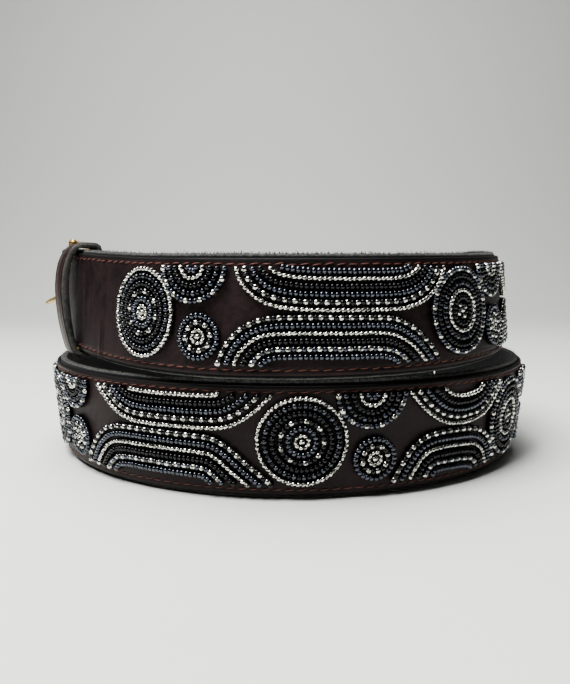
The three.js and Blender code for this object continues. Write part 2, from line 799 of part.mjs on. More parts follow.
let unitStart = firstMedallionAt;
motifUnits.forEach((unit, index) => {
  const number = index + 1;
  const topEdge = beltWidth - beadMargin;
  const halfAt = unitStart + halfMedallionFromMedallion * unit.squeeze;
  const smallAt = unitStart + smallMedallionFromMedallion * unit.squeeze;
  addMesh(`medallion_${number}`,
    makeDiscPad(unitStart, beltWidth / 2, medallionRadius, unit.squeeze, 20, 2), blackBeads);
  addMesh(`half_medallion_${number}`, makeHalfPad(halfAt, topEdge, halfMedallionRadius, unit.squeeze), blackBeads);
  addMesh(`small_medallion_${number}`,
    makeDiscPad(smallAt, smallMedallionHeight, smallMedallionRadius, unit.squeeze, 12, 1), greyBeads);
  const shape = archShapes[unit.arches];
  if (shape) {
    const length = shape.unit * unit.spread;
    addMesh(`top_arch_${number}`, makeArchPad(unitStart, length, shape.boat, 1), blackBeads);
    addMesh(`bottom_arch_${number}`, makeArchPad(unitStart, length, shape.bridge, -1), greyBeads);
    unitStart += length;
  }
});

// The origin is the middle of the bottom of the whole belt
const model = new THREE.Group();
const bounds = new THREE.Box3().setFromObject(belt);
const middle = bounds.getCenter(new THREE.Vector3());
belt.position.set(-middle.x, -middle.y, -bounds.min.z);
model.add(belt);

export default model;
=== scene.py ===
"""Visual model of a coiled beaded leather belt: leather, stitches, seed beads, brass, floor and light."""

import json
import logging
import math
from dataclasses import dataclass, field
from enum import Enum, IntEnum
from typing import Any, Dict, List, Optional, Sequence, Tuple, Union

import bmesh
import bpy
import numpy as np
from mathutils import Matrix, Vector

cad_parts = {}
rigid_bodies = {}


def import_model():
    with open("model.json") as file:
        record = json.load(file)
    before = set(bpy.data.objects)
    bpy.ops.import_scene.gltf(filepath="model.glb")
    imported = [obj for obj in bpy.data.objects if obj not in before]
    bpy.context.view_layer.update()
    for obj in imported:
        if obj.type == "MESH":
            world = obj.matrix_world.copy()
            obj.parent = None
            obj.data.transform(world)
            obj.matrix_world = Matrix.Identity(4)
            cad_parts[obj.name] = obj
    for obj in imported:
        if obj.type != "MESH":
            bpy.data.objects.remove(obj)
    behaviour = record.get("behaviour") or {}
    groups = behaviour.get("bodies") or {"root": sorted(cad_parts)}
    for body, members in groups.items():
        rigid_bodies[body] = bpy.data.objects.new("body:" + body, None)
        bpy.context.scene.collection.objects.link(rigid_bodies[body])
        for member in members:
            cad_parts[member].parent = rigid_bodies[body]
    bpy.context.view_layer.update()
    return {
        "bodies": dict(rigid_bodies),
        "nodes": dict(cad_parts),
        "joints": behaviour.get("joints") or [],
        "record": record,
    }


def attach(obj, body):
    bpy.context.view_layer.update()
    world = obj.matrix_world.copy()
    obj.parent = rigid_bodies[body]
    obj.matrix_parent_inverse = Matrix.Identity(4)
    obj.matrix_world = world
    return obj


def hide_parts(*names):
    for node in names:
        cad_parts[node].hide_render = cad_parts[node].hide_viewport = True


log = logging.getLogger("beaded_belt")

MM = 0.001
Point2 = Tuple[float, float]
Point3 = Tuple[float, float, float]
Colour = Tuple[float, float, float]
Socket = bpy.types.NodeSocket
Value = Union[bpy.types.NodeSocket, float, Colour]

# sizes in millimetres that several parts of the belt share; depth out is measured from the facing's face
BELT_WIDTH = 35.0
FACING_THICKNESS = 1.0
LAYER_GAP = 0.3
BACKING_THICKNESS = 2.2
BACKING_FACE = -FACING_THICKNESS - LAYER_GAP
BACKING_MIDDLE = BACKING_FACE - BACKING_THICKNESS / 2
FOLD_BACK_MIDDLE = BACKING_MIDDLE - BACKING_THICKNESS - LAYER_GAP
BAR_OUT = -5.5
BEAD_ROW = 2.14

# turn, reach, lift, lean: the same rows as the solid model, from the buckle to the tip
COIL_STATIONS: Tuple[Tuple[float, float, float, float], ...] = (
    (165, 1.3223, 1.1200, 0.000), (180, 1.0875, 1.1130, 0.000), (195, 0.9807, 1.0950, 0.000),
    (210, 0.9511, 1.0720, -0.030), (225, 0.9455, 1.0380, -0.077), (240, 0.9705, 1.0123, -0.077),
    (255, 1.0011, 1.0031, -0.077), (270, 1.0000, 1.0000, -0.077), (285, 0.9909, 1.0031, -0.077),
    (300, 0.9761, 1.0123, -0.077), (315, 0.9568, 1.0272, -0.077), (330, 0.9364, 1.0462, -0.077),
    (345, 0.9159, 1.0686, -0.077), (360, 0.8955, 1.0924, -0.077), (375, 0.8807, 1.0793, -0.070),
    (390, 0.8739, 1.0162, -0.057), (405, 0.8761, 0.9118, -0.039), (420, 0.8841, 0.7773, -0.018),
    (435, 0.8977, 0.6252, 0.005), (450, 0.9136, 0.4672, 0.028), (465, 0.9330, 0.3151, 0.050),
    (480, 0.9534, 0.1807, 0.069), (495, 0.9727, 0.0762, 0.084), (510, 0.9909, 0.0132, 0.093),
    (525, 1.0045, 0.0, 0.094), (540, 1.0091, 0.0, 0.094), (555, 1.0045, 0.0, 0.094),
    (570, 0.9920, 0.0, 0.094), (585, 0.9795, 0.0, 0.094), (600, 0.9693, 0.0, 0.094),
    (615, 0.9625, 0.0, 0.094), (630, 0.9602, 0.0, 0.094), (645, 0.9625, 0.0, 0.094),
    (660, 0.9693, 0.0, 0.094), (675, 0.9795, 0.0, 0.094), (690, 0.9898, 0.0, 0.094),
    (705, 0.9977, 0.0, 0.094), (720, 1.0000, 0.0, 0.094), (735, 1.0045, 0.0, 0.093),
    (750, 1.0045, 0.0, 0.089), (765, 1.0057, 0.0, 0.083), (780, 1.0080, 0.0, 0.076),
    (795, 1.0136, 0.0, 0.068), (810, 1.0239, 0.0, 0.061), (825, 1.0364, 0.0, 0.055),
    (840, 1.0511, 0.0, 0.050), (855, 1.0648, 0.0, 0.047), (870, 1.0750, 0.0, 0.047),
)


class Bead(IntEnum):
    """Kinds of seed bead, also the material index in a bead field."""

    BLACK = 0
    GREY = 1
    SILVER = 2


class Side(IntEnum):
    """Edge of the strip that an arch opens to."""

    TOP = 1
    BOTTOM = -1


class Arches(Enum):
    """Kinds of arch pair between two medallions."""

    HIGH = "high"
    LOW = "low"
    SHORT = "short"
    NONE = "none"


class Nodes:
    """Builds a node material with short calls."""

    def __init__(self, name: str) -> None:
        """Starts an empty material.

        Args:
            name: material name.
        """
        self.material = bpy.data.materials.new(name)
        self.material.use_nodes = True
        self.tree = self.material.node_tree
        self.tree.nodes.clear()
        output = self.tree.nodes.new("ShaderNodeOutputMaterial")
        self.shader = self.tree.nodes.new("ShaderNodeBsdfPrincipled")
        self.link(self.shader.outputs["BSDF"], output.inputs["Surface"])
        self.coordinates = self.tree.nodes.new("ShaderNodeTexCoord").outputs["Object"]

    def link(self, source: Socket, target: Socket) -> None:
        """Links two sockets.

        Args:
            source: output socket.
            target: input socket.
        """
        self.tree.links.new(source, target)

    def feed(self, target: Socket, value: Value) -> None:
        """Sets a socket to a number or colour, or links it.

        Args:
            target: input socket.
            value: number, colour or output socket.
        """
        if isinstance(value, (int, float)):
            target.default_value = value
        elif isinstance(value, tuple):
            target.default_value = (*value, 1.0)
        else:
            self.link(value, target)

    def put(self, name: str, value: Value) -> None:
        """Feeds one of the shader's own sockets.

        Args:
            name: socket name.
            value: number, colour or output socket.
        """
        self.feed(self.shader.inputs[name], value)

    def noise(self, scale: float, detail: float = 4.0, rough: float = 0.55) -> Socket:
        """Adds a noise texture.

        Args:
            scale: features per metre.
            detail: octaves.
            rough: roughness of the octaves.

        Returns:
            The factor output.
        """
        node = self.tree.nodes.new("ShaderNodeTexNoise")
        self.link(self.coordinates, node.inputs["Vector"])
        for name, value in (("Scale", scale), ("Detail", detail), ("Roughness", rough)):
            self.feed(node.inputs[name], value)
        return node.outputs["Fac"]

    def voronoi(self, scale: float) -> Socket:
        """Adds a cell texture.

        Args:
            scale: cells per metre.

        Returns:
            The distance output.
        """
        node = self.tree.nodes.new("ShaderNodeTexVoronoi")
        self.link(self.coordinates, node.inputs["Vector"])
        self.feed(node.inputs["Scale"], scale)
        return node.outputs["Distance"]

    def ramp(self, value: Socket, stops: Sequence[Tuple[float, Colour]]) -> Socket:
        """Adds a colour ramp.

        Args:
            value: input socket.
            stops: positions and colours.

        Returns:
            The colour output.
        """
        node = self.tree.nodes.new("ShaderNodeValToRGB")
        self.link(value, node.inputs["Fac"])
        for element, (place, colour) in zip(node.color_ramp.elements, stops):
            element.position = place
            element.color = (*colour, 1.0)
        return node.outputs["Color"]

    def spread(self, value: Socket, low: float, high: float, start: float = 0.0, end: float = 1.0) -> Socket:
        """Maps a value range to another.

        Args:
            value: input socket.
            low: value at the start.
            high: value at the end.
            start: input at low.
            end: input at high.

        Returns:
            The mapped value.
        """
        node = self.tree.nodes.new("ShaderNodeMapRange")
        self.link(value, node.inputs["Value"])
        for name, number in (("From Min", start), ("From Max", end), ("To Min", low), ("To Max", high)):
            self.feed(node.inputs[name], number)
        return node.outputs["Result"]

    def mix(self, factor: Socket, first: Value, second: Value) -> Socket:
        """Mixes two colours.

        Args:
            factor: mixing factor socket.
            first: colour at 0.
            second: colour at 1.

        Returns:
            The mixed colour.
        """
        node = self.tree.nodes.new("ShaderNodeMix")
        node.data_type = "RGBA"
        for place, value in ((0, factor), (6, first), (7, second)):
            self.feed(node.inputs[place], value)
        return node.outputs[2]

    def math(self, operation: str, first: Value, second: Value) -> Socket:
        """Adds a math node.

        Args:
            operation: Blender's name of the operation.
            first: socket or number.
            second: socket or number.

        Returns:
            The value output.
        """
        node = self.tree.nodes.new("ShaderNodeMath")
        node.operation = operation
        self.feed(node.inputs[0], first)
        self.feed(node.inputs[1], second)
        return node.outputs[0]

    def bump(self, height: Socket, strength: float, depth: float) -> None:
        """Bumps the surface.

        Args:
            height: height socket.
            strength: bump strength.
            depth: depth in metres.
        """
        node = self.tree.nodes.new("ShaderNodeBump")
        for name, value in (("Strength", strength), ("Distance", depth), ("Height", height)):
            self.feed(node.inputs[name], value)
        self.put("Normal", node.outputs["Normal"])


@dataclass(frozen=True)
class SmoothLeather:
    """Dark waxed leather with fine grain and slight wear."""

    name: str
    dark: Colour
    light: Colour
    roughness: float = 0.5
    relief: float = 0.3

    def make(self) -> bpy.types.Material:
        """Builds the material.

        Returns:
            The material.
        """
        n = Nodes(self.name)
        cloud = n.noise(75.0, 6.0, 0.62)
        mottle = n.noise(520.0, 5.0, 0.7)
        blend = n.math("ADD", n.math("MULTIPLY", cloud, 0.55), n.math("MULTIPLY", mottle, 0.45))
        n.put("Base Color", n.ramp(blend, ((0.38, self.dark), (0.62, self.light))))
        grain = n.voronoi(1500.0)
        pores = n.noise(2400.0, 4.0, 0.65)
        n.bump(n.math("ADD", n.math("MULTIPLY", grain, 0.7), pores), self.relief, 0.00014)
        n.put("Roughness", n.spread(blend, self.roughness - 0.1, self.roughness + 0.14, 0.35, 0.65))
        n.put("Specular IOR Level", 0.22)
        return n.material


@dataclass(frozen=True)
class SuedeLeather:
    """Dark nap inside, grey fuzzy cut edges on top."""

    name: str
    nap: Colour
    cut: Colour
    cut_light: Colour

    def make(self) -> bpy.types.Material:
        """Builds the material.

        Returns:
            The material.
        """
        n = Nodes(self.name)
        fibre = n.noise(900.0, 6.0, 0.7)
        blotch = n.noise(90.0, 3.0)
        edge = n.ramp(fibre, ((0.3, self.cut), (0.72, self.cut_light)))
        napped = n.mix(blotch, self.nap, tuple(c * 1.9 for c in self.nap))
        geometry = n.tree.nodes.new("ShaderNodeNewGeometry")
        split = n.tree.nodes.new("ShaderNodeSeparateXYZ")
        n.link(geometry.outputs["Normal"], split.inputs["Vector"])
        upward = n.math("ADD", n.math("ABSOLUTE", split.outputs["Z"], 0.0), n.spread(fibre, -0.2, 0.2))
        n.put("Base Color", n.mix(n.spread(upward, 0.0, 1.0, 0.3, 0.6), napped, edge))
        n.put("Roughness", 0.95)
        n.put("Sheen Weight", 0.08)
        n.put("Specular IOR Level", 0.15)
        n.bump(fibre, 0.7, 0.0004)
        return n.material


@dataclass(frozen=True)
class BeadGlass:
    """Seed-bead glass: opaque, metallic or silver lined."""

    name: str
    dark: Colour
    light: Colour
    metallic: float
    roughness: float
    coat: float = 0.6
    grain: float = 420.0
    contrast: float = 0.18
    specular: float = 0.5

    def make(self) -> bpy.types.Material:
        """Builds the material.

        Returns:
            The material.
        """
        n = Nodes(self.name)
        vary = n.noise(self.grain, 2.0, 0.5)
        n.put("Base Color", n.ramp(vary, ((0.5 - self.contrast, self.dark), (0.5 + self.contrast, self.light))))
        n.put("Metallic", self.metallic)
        n.put("Roughness", n.spread(vary, self.roughness * 0.7, self.roughness * 1.5))
        n.put("Specular IOR Level", self.specular)
        n.put("Coat Weight", self.coat)
        n.put("Coat IOR", 1.6)
        n.put("Coat Roughness", 0.07)
        return n.material


@dataclass(frozen=True)
class Thread:
    """Waxed red-brown sewing thread."""

    name: str
    dark: Colour
    light: Colour

    def make(self) -> bpy.types.Material:
        """Builds the material.

        Returns:
            The material.
        """
        n = Nodes(self.name)
        twist = n.noise(3500.0, 3.0)
        n.put("Base Color", n.ramp(twist, ((0.3, self.dark), (0.7, self.light))))
        n.put("Roughness", 0.6)
        n.bump(twist, 0.4, 0.0001)
        return n.material


@dataclass(frozen=True)
class AgedBrass:
    """Warm brass with duller patches."""

    name: str
    dark: Colour
    light: Colour

    def make(self) -> bpy.types.Material:
        """Builds the material.

        Returns:
            The material.
        """
        n = Nodes(self.name)
        patch = n.noise(350.0, 5.0, 0.65)
        n.put("Base Color", n.ramp(patch, ((0.35, self.dark), (0.65, self.light))))
        n.put("Metallic", 1.0)
        n.put("Roughness", n.spread(patch, 0.42, 0.2))
        n.bump(n.noise(1500.0), 0.08, 0.0001)
        return n.material


@dataclass(frozen=True)
class Paper:
    """Plain matt studio surface."""

    name: str
    colour: Colour

    def make(self) -> bpy.types.Material:
        """Builds the material.

        Returns:
            The material.
        """
        n = Nodes(self.name)
        soft = n.noise(40.0, 3.0)
        n.put("Base Color", n.mix(soft, tuple(c * 0.985 for c in self.colour), self.colour))
        n.put("Roughness", 0.9)
        n.put("Specular IOR Level", 0.1)
        return n.material


@dataclass
class Finishes:
    """All finishes of the belt, made once."""

    facing: bpy.types.Material
    keeper: bpy.types.Material
    suede: bpy.types.Material
    brass: bpy.types.Material
    thread: bpy.types.Material
    fibre: bpy.types.Material
    edge: bpy.types.Material
    # painted shade: a near-black finish laid on the facing's top rolled edge and its end caps
    burnished: bpy.types.Material
    beads: List[bpy.types.Material]

    @classmethod
    def make(cls) -> "Finishes":
        """Builds every finish.

        Returns:
            The finishes.
        """
        black = BeadGlass("bead_black", (0.001, 0.001, 0.002), (0.003, 0.003, 0.005), 0.0, 0.12, 0.2, specular=0.3)
        grey = BeadGlass("bead_grey", (0.020, 0.024, 0.034), (0.070, 0.081, 0.110), 0.95, 0.16, 0.8)
        silver = BeadGlass("bead_silver", (0.07, 0.07, 0.055), (0.95, 0.94, 0.88), 1.0, 0.2, 1.0, 1500.0, 0.07)
        fibre_dark, fibre_light = (0.010, 0.010, 0.009), (0.035, 0.035, 0.031)
        return cls(
            facing=SmoothLeather("facing_leather", (0.006, 0.0033, 0.0035), (0.025, 0.0135, 0.014),
                                 0.47, 0.42).make(),
            keeper=SmoothLeather("keeper_leather", (0.012, 0.006, 0.006), (0.045, 0.024, 0.021),
                                 0.36, 0.22).make(),
            suede=SuedeLeather("suede_backing", (0.005, 0.005, 0.006), (0.030, 0.032, 0.029),
                               (0.115, 0.118, 0.108)).make(),
            brass=AgedBrass("aged_brass", (0.28, 0.17, 0.05), (0.72, 0.50, 0.19)).make(),
            thread=Thread("red_brown_thread", (0.05, 0.013, 0.009), (0.17, 0.058, 0.038)).make(),
            fibre=SuedeLeather("loose_fibre", fibre_dark, fibre_dark, fibre_light).make(),
            edge=SmoothLeather("cut_edge", (0.04, 0.041, 0.038), (0.14, 0.14, 0.13), 0.6, 0.7).make(),
            # painted shade: the dark line of shadow along the facing's top edge, darker than the facing leather
            burnished=SmoothLeather("burnished_edge", (0.003, 0.002, 0.002), (0.010, 0.007, 0.007), 0.6).make(),
            beads=[glass.make() for glass in (black, grey, silver)],
        )


def through(a: Any, b: Any, c: Any, d: Any, t: Any) -> Any:
    """Smooth curve through four even points, read between the second and the third.

    Args:
        a: first point.
        b: second point.
        c: third point.
        d: fourth point.
        t: share of the way from the second to the third.

    Returns:
        The value there.
    """
    return 0.5 * (2 * b + (c - a) * t + (2 * a - 5 * b + 4 * c - d) * t**2 + (3 * b - a - 3 * c + d) * t**3)


def run_marks(line: np.ndarray) -> np.ndarray:
    """Length run up to each point of a line.

    Args:
        line: points in a plane.

    Returns:
        The lengths, from 0.
    """
    return np.concatenate([[0.0], np.cumsum(np.hypot(*np.diff(line, axis=0).T))])


def read_line(line: np.ndarray, stops: np.ndarray) -> np.ndarray:
    """Points of a line at run lengths.

    Args:
        line: points in a plane.
        stops: run lengths.

    Returns:
        The points.
    """
    marks = run_marks(line)
    return np.stack([np.interp(stops, marks, line[:, 0]), np.interp(stops, marks, line[:, 1])], axis=1)


@dataclass
class CoilPath:
    """The belt's outer face as a path: length along, depth out and height map to space."""

    shift: Sequence[float] = (0.0, 0.0, 0.0)
    reach: float = 88.0
    upper_lift: float = 35.7
    first_turn: float = 188.2
    last_turn: float = 857.0
    turn_step: float = 0.5
    tip_length: float = 22.0
    tip_end_share: float = 0.3

    def __post_init__(self) -> None:
        """Samples the coil table finely once."""
        self.shift = np.array(self.shift, dtype=float)
        self.table = np.array(COIL_STATIONS)
        turns = np.arange(self.first_turn, self.last_turn + self.turn_step / 2, self.turn_step)
        self.plan = self._plan(turns)
        self.length_at = run_marks(self.plan)
        tangent = self._plan(turns + self.turn_step) - self._plan(turns - self.turn_step)
        self.tangent = tangent / np.linalg.norm(tangent, axis=1, keepdims=True)
        self.lift = np.maximum(0.0, self.upper_lift * self._column(2, turns))
        self.lean = self._column(3, turns)
        self.length = float(self.length_at[-1])

    def _column(self, column: int, turns: np.ndarray) -> np.ndarray:
        """Reads one column of the table by a smooth curve.

        Args:
            column: column number.
            turns: turns in degrees.

        Returns:
            The values.
        """
        place = (turns - self.table[0, 0]) / (self.table[1, 0] - self.table[0, 0])
        row = np.clip(np.floor(place).astype(int), 1, len(self.table) - 3)
        return through(*(self.table[row + k, column] for k in (-1, 0, 1, 2)), place - row)

    def _plan(self, turns: np.ndarray) -> np.ndarray:
        """Plan points at turns.

        Args:
            turns: turns in degrees.

        Returns:
            Points in millimetres.
        """
        reach = self.reach * self._column(1, turns)
        angle = np.radians(turns)
        return np.stack([reach * np.cos(angle), reach * np.sin(angle)], axis=-1)

    def frames(self, along: np.ndarray) -> Tuple[np.ndarray, ...]:
        """Frames of the outer face.

        Args:
            along: lengths along the belt in millimetres.

        Returns:
            Origins, tangents, outward directions and leans.
        """
        along = np.asarray(along, dtype=float)
        held = np.clip(along, 0.0, self.length)

        def read(values: np.ndarray) -> np.ndarray:
            """Values at the held lengths."""
            return np.interp(held, self.length_at, values)

        tangent = np.stack([read(self.tangent[:, 0]), read(self.tangent[:, 1]), np.zeros_like(held)], axis=-1)
        tangent /= np.linalg.norm(tangent, axis=-1, keepdims=True)
        origin = np.stack([read(self.plan[:, 0]), read(self.plan[:, 1]), read(self.lift)], axis=-1)
        origin = origin + tangent * (along - held)[..., None] + self.shift
        outward = np.stack([tangent[..., 1], -tangent[..., 0], np.zeros_like(held)], axis=-1)
        return origin, tangent, outward, read(self.lean)

    def place(self, along: np.ndarray, out: np.ndarray, height: np.ndarray) -> np.ndarray:
        """Points on or near the belt.

        Args:
            along: lengths along the belt.
            out: depths out from the face.
            height: heights above the lower edge.

        Returns:
            Points in millimetres.
        """
        along, out, height = np.broadcast_arrays(*(np.asarray(v, dtype=float) for v in (along, out, height)))
        origin, _, outward, lean = self.frames(along)
        point = origin + outward * (out + lean * (height - BELT_WIDTH / 2))[..., None]
        point[..., 2] += height
        return point

    def axes(self, along: np.ndarray, direction: np.ndarray) -> np.ndarray:
        """Right-handed axes on the face for things that follow a direction in it.

        Args:
            along: lengths along the belt.
            direction: unit vectors in the face, along and across.

        Returns:
            Matrices whose columns are the direction, its side and the outward normal.
        """
        _, tangent, outward, lean = self.frames(along)
        up = outward * lean[..., None] + np.array([0.0, 0.0, 1.0])
        up /= np.linalg.norm(up, axis=-1, keepdims=True)
        normal = np.cross(tangent, up)
        first = tangent * direction[..., :1] + up * direction[..., 1:]
        return np.stack([first, np.cross(normal, first), normal], axis=-1)

    def square_place(self, along: float, aside: float, out: float, aloft: float) -> np.ndarray:
        """Point on a line square to the face.

        Args:
            along: length along the belt where the line stands.
            aside: offset along the belt.
            out: depth out.
            aloft: offset up the face from the middle.

        Returns:
            The point in millimetres.
        """
        origin = self.frames(np.array([along]))[0][0]
        axes = self.axes(np.array([along]), np.array([[1.0, 0.0]]))[0]
        middle = origin + np.array([0.0, 0.0, BELT_WIDTH / 2])
        return middle + axes[:, 0] * aside + axes[:, 1] * aloft + axes[:, 2] * out

    def tip_share(self, along: np.ndarray) -> np.ndarray:
        """Share of the width that is left towards the tip.

        Args:
            along: lengths along the belt.

        Returns:
            The shares.
        """
        into = np.maximum(0.0, along - (self.length - self.tip_length)) / self.tip_length
        return self.tip_end_share + (1 - self.tip_end_share) * np.sqrt(np.maximum(0.0, 1 - into**2))

    def narrowed(self, heights: np.ndarray, along: np.ndarray) -> np.ndarray:
        """Heights of a section's points at each station, drawn in towards the tip.

        Args:
            heights: heights in the full section.
            along: lengths along the belt.

        Returns:
            Heights, stations by points.
        """
        share = self.tip_share(along)
        return BELT_WIDTH / 2 + (heights[None] - BELT_WIDTH / 2) * share[:, None]


def new_object(name: str, points: np.ndarray, faces: Sequence[Sequence[int]], body: str,
               materials: Sequence[bpy.types.Material], indices: Optional[np.ndarray] = None) -> bpy.types.Object:
    """Makes a smooth mesh object that rides on a body.

    Args:
        name: piece name.
        points: points in millimetres.
        faces: point indices of each face.
        body: CAD body it moves with.
        materials: its materials.
        indices: material index of each face.

    Returns:
        The object.
    """
    mesh = bpy.data.meshes.new(name)
    points = np.asarray(points, dtype=np.float64) * MM
    if isinstance(faces, np.ndarray):
        count = faces.shape[1]
        mesh.vertices.add(len(points))
        mesh.vertices.foreach_set("co", points.ravel())
        mesh.loops.add(faces.size)
        mesh.loops.foreach_set("vertex_index", faces.ravel().astype(np.int32))
        mesh.polygons.add(len(faces))
        mesh.polygons.foreach_set("loop_start", np.arange(0, faces.size, count, dtype=np.int32))
    else:
        mesh.from_pydata(points.tolist(), [], [list(map(int, f)) for f in faces])
    for material in materials:
        mesh.materials.append(material)
    if indices is not None:
        mesh.polygons.foreach_set("material_index", np.asarray(indices, dtype=np.int32))
    mesh.update(calc_edges=True)
    mesh.validate()
    mesh.polygons.foreach_set("use_smooth", [True] * len(mesh.polygons))
    piece = bpy.data.objects.new(name, mesh)
    bpy.context.scene.collection.objects.link(piece)
    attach(piece, body)
    log.info("%s: %d faces", name, len(mesh.polygons))
    return piece


def face_outward(mesh: bpy.types.Mesh) -> None:
    """Turns every face of a closed mesh outward.

    Args:
        mesh: the mesh.
    """
    work = bmesh.new()
    work.from_mesh(mesh)
    bmesh.ops.recalc_face_normals(work, faces=work.faces)
    work.to_mesh(mesh)
    work.free()


def cut_away(piece: bpy.types.Object, points: Sequence[np.ndarray], faces: Sequence[Sequence[int]]) -> None:
    """Cuts closed shapes out of a piece.

    Args:
        piece: piece that is cut.
        points: corner points of the shapes in millimetres.
        faces: their faces.
    """
    mesh = bpy.data.meshes.new("cutter")
    mesh.from_pydata([tuple(float(v) * MM for v in np.ravel(point)) for point in points], [], faces)
    face_outward(mesh)
    face_outward(piece.data)
    cutter = bpy.data.objects.new("cutter", mesh)
    bpy.context.scene.collection.objects.link(cutter)
    cut = piece.modifiers.new("cut", "BOOLEAN")
    cut.operation = "DIFFERENCE"
    cut.solver = "EXACT"
    cut.object = cutter
    result = bpy.data.meshes.new_from_object(piece.evaluated_get(bpy.context.evaluated_depsgraph_get()))
    piece.modifiers.clear()
    piece.data = result
    bpy.data.objects.remove(cutter, do_unlink=True)
    log.info("%s cut: %d faces", piece.name, len(result.polygons))


def loft_faces(rings: int, sides: int, offset: int = 0) -> List[List[int]]:
    """Faces of a closed loft.

    Args:
        rings: number of rings.
        sides: points in each ring.
        offset: index of the first point.

    Returns:
        Faces with both ends capped.
    """
    faces = []
    for ring in range(rings - 1):
        for side in range(sides):
            a = offset + ring * sides + side
            b = offset + ring * sides + (side + 1) % sides
            faces.append([a, b, b + sides, a + sides])
    faces.append([offset + side for side in reversed(range(sides))])
    faces.append([offset + (rings - 1) * sides + side for side in range(sides)])
    return faces


def turned(profile: Sequence[Point2], sides: int, flatness: float = 1.0,
           sag: float = 0.0) -> Tuple[np.ndarray, np.ndarray]:
    """A small shape turned round X, such as a bead or a stitch.

    Args:
        profile: places along X and radii.
        sides: sides around X.
        flatness: share of the radius kept in the third direction.
        sag: how far both ends dip in the third direction.

    Returns:
        Points in millimetres and quads.
    """
    points, quads = [], []
    for x, radius in profile:
        for side in range(sides):
            angle = 2 * math.pi * side / sides
            lift = -sag * (x / profile[-1][0]) ** 2
            points.append((x, radius * math.cos(angle), lift + flatness * radius * math.sin(angle)))
    for ring in range(len(profile) - 1):
        for side in range(sides):
            a = ring * sides + side
            b = ring * sides + (side + 1) % sides
            quads.append((a, a + sides, b + sides, b))
    return np.array(points), np.array(quads)


def repeat_faces(quads: np.ndarray, points_each: int, count: int) -> np.ndarray:
    """Faces of many copies of one small shape in a joined mesh.

    Args:
        quads: faces of one copy.
        points_each: points of one copy.
        count: number of copies.

    Returns:
        All faces.
    """
    return (quads[None] + (np.arange(count) * points_each)[:, None, None]).reshape(-1, 4)


def mirrored(section: Sequence[Point2]) -> List[Point2]:
    """The upper half of a section that mirrors its lower half, without the middle point.

    Args:
        section: depth out and height of the lower half, the middle point last.

    Returns:
        The upper half.
    """
    return [(out, BELT_WIDTH - height) for out, height in reversed(section[:-1])]


@dataclass(frozen=True)
class SetBead:
    """One bead in its place on the face."""

    along: float
    height: float
    direction: Point2
    kind: Bead
    size: float = 1.0
    rope: bool = False


@dataclass
class BeadField:
    """A field of seed beads that stands for one low pad of the solid model."""

    node: str
    path: CoilPath
    finishes: Finishes
    rng: np.random.Generator
    pitch: float = 1.42
    reach: float = 0.6
    sides: int = 10
    ring_samples: int = 180
    profile: Tuple[Point2, ...] = ((-0.62, 0.36), (-0.72, 0.60), (-0.50, 0.91), (0.0, 1.07), (0.50, 0.91),
                                   (0.72, 0.60), (0.62, 0.36))
    beads: List[SetBead] = field(default_factory=list)

    def ring(self, centre: Point2, radius: float, pattern: Sequence[Bead], squeeze: float, span: Point2,
             size: float) -> None:
        """Adds a ring or arc of beads.

        Args:
            centre: centre along and across.
            radius: ring radius.
            pattern: kinds repeated round the ring.
            squeeze: share of the width along the belt.
            span: start and end angle in degrees.
            size: bead size factor.
        """
        low, high = (math.radians(v) for v in span)
        start = self.rng.uniform(-0.3, 0.3) if high - low > 6 else 0.0
        angles = np.linspace(low + start, high + start, self.ring_samples)
        line = np.stack([centre[0] + squeeze * radius * np.cos(angles),
                         centre[1] + radius * np.sin(angles)], axis=1)
        self.row(line, pattern, size)

    def row(self, line: np.ndarray, pattern: Sequence[Bead], size: float = 1.0) -> None:
        """Adds a row of beads along a curve.

        Args:
            line: points along and across.
            pattern: kinds repeated along the row.
            size: bead size factor.
        """
        length = run_marks(line)[-1]
        count = max(1, round(float(length) / (self.pitch * size)))
        if len(pattern) > 1:
            count = max(len(pattern), count - count % len(pattern))
        stops = (np.arange(count) + 0.5) * length / count
        step = read_line(line, stops + self.reach) - read_line(line, stops - self.reach)
        step /= np.hypot(step[:, 0], step[:, 1])[:, None]
        for index, (along, height) in enumerate(read_line(line, stops)):
            kind = pattern[index % len(pattern)]
            rope = len(pattern) == 1 and kind == Bead.SILVER
            self.beads.append(SetBead(along, height, tuple(step[index]), kind, size, rope))

    def build(self) -> bpy.types.Object:
        """Makes the joined mesh and lets it stand for the pad.

        Returns:
            The bead field object.
        """
        template, quads = turned(self.profile, self.sides)
        count = len(self.beads)
        rng = self.rng
        along = np.array([bead.along for bead in self.beads]) + rng.normal(0, 0.035, count)
        height = np.array([bead.height for bead in self.beads]) + rng.normal(0, 0.04, count)
        kinds = np.array([int(bead.kind) for bead in self.beads])
        direction = np.array([bead.direction for bead in self.beads])
        rope = np.array([bead.rope for bead in self.beads])
        silver = kinds == int(Bead.SILVER)
        twist = rng.normal(0, 0.06, count) + np.where(rope, 0.42, 0.0)
        cos, sin = np.cos(twist), np.sin(twist)
        direction = np.stack([direction[:, 0] * cos - direction[:, 1] * sin,
                              direction[:, 0] * sin + direction[:, 1] * cos], axis=1)
        size = np.array([bead.size for bead in self.beads]) * rng.normal(1.0, 0.025, count)
        centre = self.path.place(along, 0.98 * size + rng.normal(0, 0.04, count), height)
        longer = np.where(rope, 1.12, np.where(silver, 1.2, 0.9)) * size * rng.normal(1.0, 0.03, count)
        across = np.where(rope, 0.68, np.where(silver, 0.9, 0.93)) * size
        local = template[None] * np.stack([longer, across, 0.98 * size], axis=1)[:, None, :]
        points = np.einsum("nij,nkj->nki", self.path.axes(along, direction), local) + centre[:, None, :]
        piece = new_object(self.node + "_beads", points.reshape(-1, 3), repeat_faces(quads, len(template), count),
                           "belt", self.finishes.beads, np.repeat(kinds, len(quads)))
        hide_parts(self.node)
        return piece


